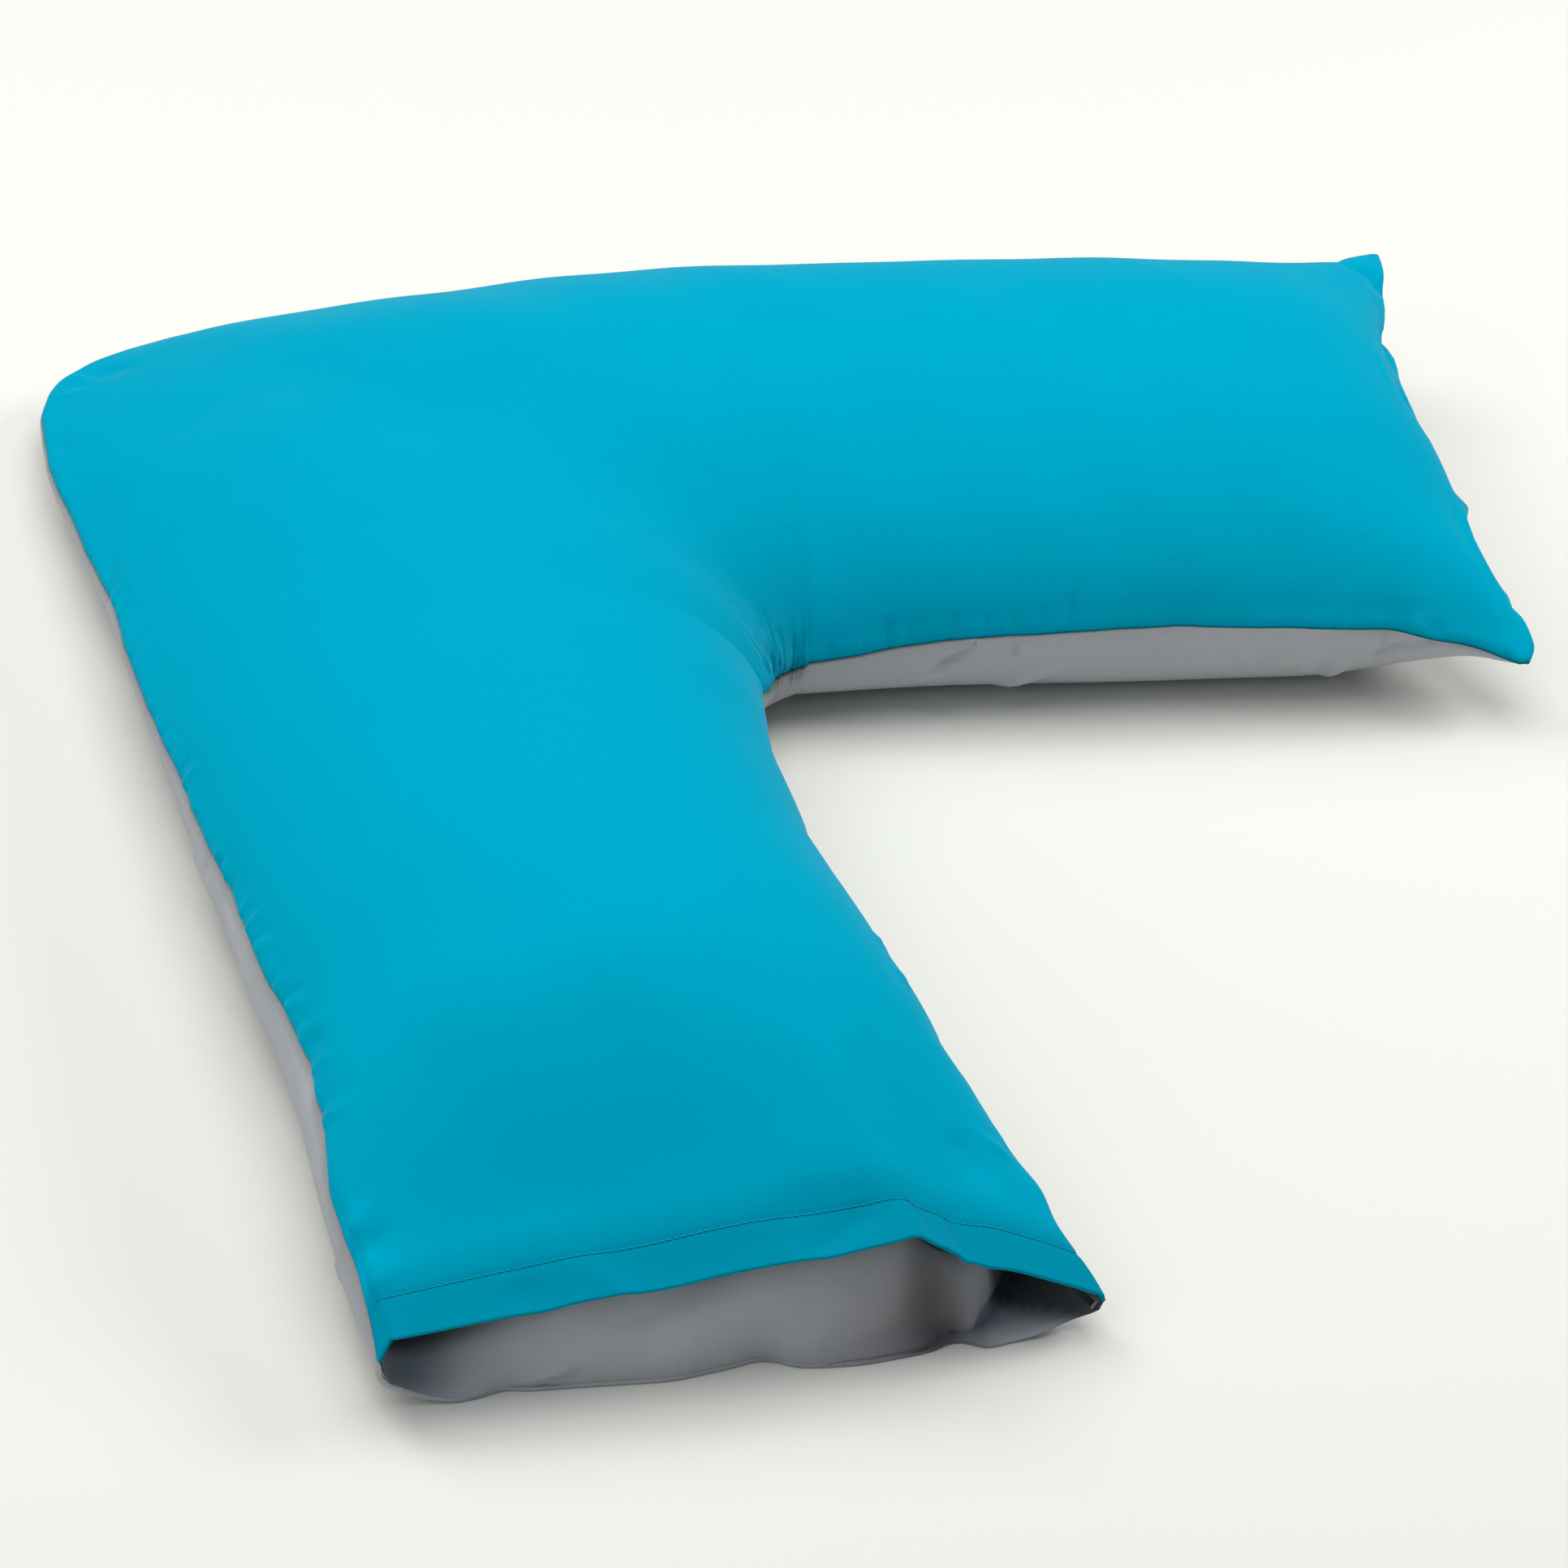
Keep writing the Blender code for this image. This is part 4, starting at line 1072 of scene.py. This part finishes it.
class Shader:
    """A new material with a Principled BSDF, and one method that adds any other node."""

    def __init__(self, name):
        self.material = bpy.data.materials.new(name)
        self.material.use_nodes = True
        self.tree = self.material.node_tree
        self.surface = self.tree.nodes["Principled BSDF"]

    def add(self, kind, settings=None, output=0, **sockets):
        node = self.tree.nodes.new("ShaderNode" + kind)
        for setting, value in (settings or {}).items():
            setattr(node, setting, value)
        for slot_name, value in sockets.items():
            plug(self.tree, node.inputs[slot_name.replace("_", " ")], value)
        return Signal(self.tree, node.outputs[output])

    def mix(self, share, one, two):
        node = self.tree.nodes.new("ShaderNodeMix")
        node.data_type = "RGBA"
        for slot, value in ((0, share), (6, one), (7, two)):
            plug(self.tree, node.inputs[slot], value)
        return Signal(self.tree, node.outputs[2])

    def split(self, vector):
        """The first two parts of a vector."""
        parts = self.add("SeparateXYZ", Vector=vector)
        return parts, Signal(self.tree, parts.socket.node.outputs[1])

    def fade(self, value, low, high, start, end):
        """start up to the value low, end from the value high on, and even between them."""
        return self.add("MapRange", {"clamp": True}, Value=value, From_Min=low, From_Max=high,
                        To_Min=start, To_Max=end)

    def set(self, **sockets):
        for slot_name, value in sockets.items():
            plug(self.tree, self.surface.inputs[slot_name.replace("_", " ")], value)


# %% [markdown]
# ## Woven cloth
#
# The weave is too fine to model: its threads are half a millimetre apart. Two streaky noises, one
# along each thread direction, bump the surface and mottle the colour. They are laid on the cloth's
# own UV map, whose unit is a metre, so the threads follow the cloth. Painted shade darkens the line
# of the seam, most on the far arm, and the grey cloth inside the mouth. The hem is darker too, as
# cloth with no white filling behind it.

# %% Cloth material
ALONG_THREAD, OVER_THREAD = 90, 1500  # how often the weave's noise changes in a metre
THREAD_BUMP, PUCKER_BUMP = 0.12 * MM, 1.6 * MM
# How wide the painted shade along a seam is, and how far the puckers reach.
SEAM_SHADE_WIDE, PUCKERS_REACH = 1.3 * MM, 11 * MM
HEM_DARK = (MOUTH - 0.040, MOUTH - 0.021, 0.0, 0.30)  # from, to, and the shade there


def shaded(colour, share):
    return tuple(share * c for c in colour[:3]) + (1,)


def woven(name, colour, fleck, sheen, inside=None):
    """inside: the UV map that holds the painted shade. Without one it is dark along its hem."""
    cloth = Shader(name)
    uv = cloth.add("UVMap", {"uv_map": "cloth"})
    u, v = cloth.split(uv)
    place, gap = cloth.split(cloth.add("UVMap", {"uv_map": "seam"}))

    def noise(x, y):
        return cloth.add("TexNoise", Vector=cloth.add("CombineXYZ", X=x, Y=y), Scale=1.0, Detail=1.0)

    threads = noise(u * ALONG_THREAD, v * OVER_THREAD) + noise(u * OVER_THREAD, v * ALONG_THREAD)
    puckers = noise(place * 210, gap * 20) * cloth.fade(gap, 0.0, PUCKERS_REACH, 1.0, 0.0).power(1.5)
    fine = cloth.add("Bump", Height=threads, Distance=THREAD_BUMP, Strength=1.0)
    deep = cloth.add("Bump", Height=puckers, Distance=PUCKER_BUMP, Strength=1.0, Normal=fine)
    mottle = cloth.add("TexNoise", Vector=uv, Scale=25.0, Detail=3.0)
    woven_colour = cloth.mix(threads * 0.35 + mottle * 0.3, colour, fleck)
    # The grey cloth's inside map is painted shade. The teal cloth is darker along its hem, where no white
    # filling lies behind it.
    if inside:
        dark = cloth.split(cloth.add("UVMap", {"uv_map": inside}))[0]
    else:
        dark = cloth.fade(place, *HEM_DARK)
    woven_colour = cloth.mix(dark, woven_colour, shaded(colour, 0.12))
    # Painted shade along the line of the seam, strongest on the far arm.
    seam_shade = cloth.fade(gap, 0.0, SEAM_SHADE_WIDE, 1.0, 0.0) * cloth.fade(place, 0.70, 0.80, 1.0, 0.3)
    woven_colour = cloth.mix(seam_shade, woven_colour, shaded(colour, 0.25))
    cloth.set(Base_Color=woven_colour, Roughness=0.82, Normal=deep)
    cloth.set(Sheen_Weight=sheen, Sheen_Roughness=0.25, Sheen_Tint=(0.7, 0.92, 1, 1), Specular_IOR_Level=0.0)
    return cloth.material


def plain(name, colour, roughness, gloss):
    paint = Shader(name)
    paint.set(Base_Color=colour, Roughness=roughness, Specular_IOR_Level=gloss)
    return paint.material


teal = woven("teal_cotton", (0.0, 0.365, 0.537, 1), (0.0, 0.328, 0.485, 1), 0.16)
# The grey cloth takes its painted shade from the inside map.
grey = woven("grey_cotton", (0.452, 0.462, 0.488, 1), (0.405, 0.413, 0.437, 1), 0.05, inside="inside")
white = plain("white_cotton", (0.8, 0.8, 0.78, 1), 0.9, 0.1)
thread = plain("teal_thread", (0.0, 0.30, 0.44, 1), 0.6, 0.2)
for piece, material in ((teal_cloth, teal), (grey_cloth, grey), (filling, white)):
    piece.data.materials.append(material)

# %% [markdown]
# ## Hem stitches by Geometry Nodes
#
# A repeat is easiest with Geometry Nodes: one curve, points at an even pitch on it, and one short
# thread on each point, turned along the curve. The group's inputs name the sizes, so the same group
# would sew any other line.

# %% The stitch line and the node group
THREAD_UP, FREE_ENDS = 0.25 * MM, 4 * MM
STITCH_PITCH, STITCH_LENGTH, THREAD_RADIUS = 3.6 * MM, 2.5 * MM, 0.34 * MM


def stitch_line():
    """The hem's sewing line on the upper cloth, raised a little, so that the thread lies on it."""
    row = int(np.abs(MOUTH - HEM_STITCH - top.place[:, 0]).argmin())
    line = top_with_hem[row] + normals(top.points, 1)[row] * THREAD_UP + OUTER_CORNER
    used = line[(top.from_outer[row] > FREE_ENDS) & (top.from_inner[row] > FREE_ENDS)]
    pairs = [(i, i + 1) for i in range(len(used) - 1)]
    return linked("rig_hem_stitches", mesh_of("hem_line", used.tolist(), [], pairs))


def stitch_group():
    group = bpy.data.node_groups.new("stitches_along_a_line", "GeometryNodeTree")
    for name, kind in (("Line", "Geometry"), ("Pitch", "Float"), ("Stitch length", "Float"),
                       ("Thread radius", "Float"), ("Thread", "Material")):
        group.interface.new_socket(name, in_out="INPUT", socket_type="NodeSocket" + kind)
    group.interface.new_socket("Stitches", in_out="OUTPUT", socket_type="NodeSocketGeometry")
    given = group.nodes.new("NodeGroupInput").outputs

    def step(kind, settings=None, **sources):
        node = group.nodes.new("GeometryNode" + kind)
        for setting, value in (settings or {}).items():
            setattr(node, setting, value)
        for slot_name, source in sources.items():
            group.links.new(source, node.inputs[slot_name])
        return node

    as_curve = step("MeshToCurve", Mesh=given["Line"])
    even = step("CurveToPoints", {"mode": "LENGTH"}, Curve=as_curve.outputs[0], Length=given["Pitch"])
    bead = step("MeshCylinder", Depth=given["Stitch length"], Radius=given["Thread radius"])
    bead.inputs["Vertices"].default_value = 8
    laid = step("InstanceOnPoints", Points=even.outputs["Points"], Rotation=even.outputs["Rotation"],
                Instance=bead.outputs["Mesh"])
    real = step("RealizeInstances", Geometry=laid.outputs[0])
    paint = step("SetMaterial", Geometry=real.outputs[0], Material=given["Thread"])
    group.links.new(paint.outputs[0], group.nodes.new("NodeGroupOutput").inputs[0])
    return group


# %% Sew the hem
stitches = stitch_line()
sewing = stitches.modifiers.new("sewing", "NODES")
sewing.node_group = stitch_group()
stitch_sizes = {"Pitch": STITCH_PITCH, "Stitch length": STITCH_LENGTH, "Thread radius": THREAD_RADIUS}
for item in sewing.node_group.interface.items_tree:
    if item.name in stitch_sizes:
        sewing[item.identifier] = stitch_sizes[item.name]
    elif item.name == "Thread":
        sewing[item.identifier] = thread
made = bpy.data.meshes.new_from_object(stitches.evaluated_get(bpy.context.evaluated_depsgraph_get()))
stitches.modifiers.remove(sewing)
stitches.data = made
made.name = "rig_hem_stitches"
while len(made.materials) > 1 and made.materials[0] is None:
    made.materials.pop(index=0)
if made.materials[0] is None:
    made.materials[0] = thread
made.polygons.foreach_set("material_index", np.zeros(len(made.polygons), np.int32))
print("hem stitches:", len(made.polygons), "faces, materials", [m and m.name for m in made.materials])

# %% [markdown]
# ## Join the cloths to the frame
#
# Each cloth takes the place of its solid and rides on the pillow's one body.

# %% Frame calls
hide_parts("top_panel")
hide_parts("bottom_panel")
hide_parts("filled_pillow")
for piece, slot in ((teal_cloth, "top_panel"), (grey_cloth, "bottom_panel"), (filling, "filled_pillow"),
                    (stitches, "top_panel")):
    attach(piece, "root")

# %% [markdown]
# ## Floor, light and camera
#
# The floor is plain pale paper. Four soft round lamps stand for a bright room: a wide one overhead,
# and one each behind, to the right and to the left. The world adds a little bluish light to the
# shadows. The camera's place, turns and lens were fitted to the photograph.

# %% Stage
FLOOR_HALF = 12
LIGHTS = (  # name, place and width in metres, watts
    ("window_light", (-1.5, 1.5, 2.2), 1.6, 29),
    ("side_light", (2.2, 0.2, 1.6), 1.2, 30),
    ("left_light", (-2.2, -0.8, 1.3), 2.0, 14),
    ("overhead_light", (0.0, 0.3, 3.0), 3.0, 59),
)
WORLD_COLOUR, WORLD_STRENGTH = (0.91, 0.98, 1.12, 1), 0.17


def area_light(name, place, size, watts):
    """A round lamp that points at the frame's origin."""
    light = bpy.data.lights.new(name, "AREA")
    light.shape, light.size, light.energy = "DISK", size, watts
    obj = linked(name, light)
    obj.location = place
    obj.rotation_euler = (-Vector(place)).to_track_quat("-Z", "Y").to_euler()
    return obj


corners = [(x * FLOOR_HALF, y * FLOOR_HALF, 0) for x, y in ((-1, -1), (1, -1), (1, 1), (-1, 1))]
paper = linked("floor", mesh_of("floor", corners, [(0, 1, 2, 3)]))
paper.data.materials.append(plain("white_paper", (0.80, 0.797, 0.735, 1), 0.9, 0.1))
key, side_light, left_light, overhead = (area_light(*row) for row in LIGHTS)
world = bpy.data.worlds.new("studio")
world.use_nodes = True
colour_in, strength_in = world.node_tree.nodes["Background"].inputs[:2]
colour_in.default_value, strength_in.default_value = WORLD_COLOUR, WORLD_STRENGTH
bpy.context.scene.world = world
bpy.context.scene.view_settings.view_transform = "Standard"

# %% Camera
CAMERA = (-1.1100913, -2.4340940, 2.0424603)
PITCH_DEG, YAW_DEG, ROLL_DEG = 37.445907, 23.184314, 9.636217
LENS_MM, SENSOR_MM = 149.068, 36


def camera():
    pitch, yaw, roll = (math.radians(a) for a in (PITCH_DEG, YAW_DEG, ROLL_DEG))
    ahead = Vector((math.sin(yaw) * math.cos(pitch), math.cos(yaw) * math.cos(pitch), -math.sin(pitch)))
    right = Vector((math.cos(yaw), -math.sin(yaw), 0))
    up = right.cross(ahead)
    right, up = (math.cos(roll) * right + math.sin(roll) * up, math.cos(roll) * up - math.sin(roll) * right)
    data = bpy.data.cameras.new("camera")
    data.lens, data.sensor_width = LENS_MM, SENSOR_MM
    obj = linked("camera", data)
    obj.matrix_world = Matrix.Translation(CAMERA) @ Matrix((right, up, -ahead)).transposed().to_4x4()
    bpy.context.scene.camera = obj
    return obj


view = camera()
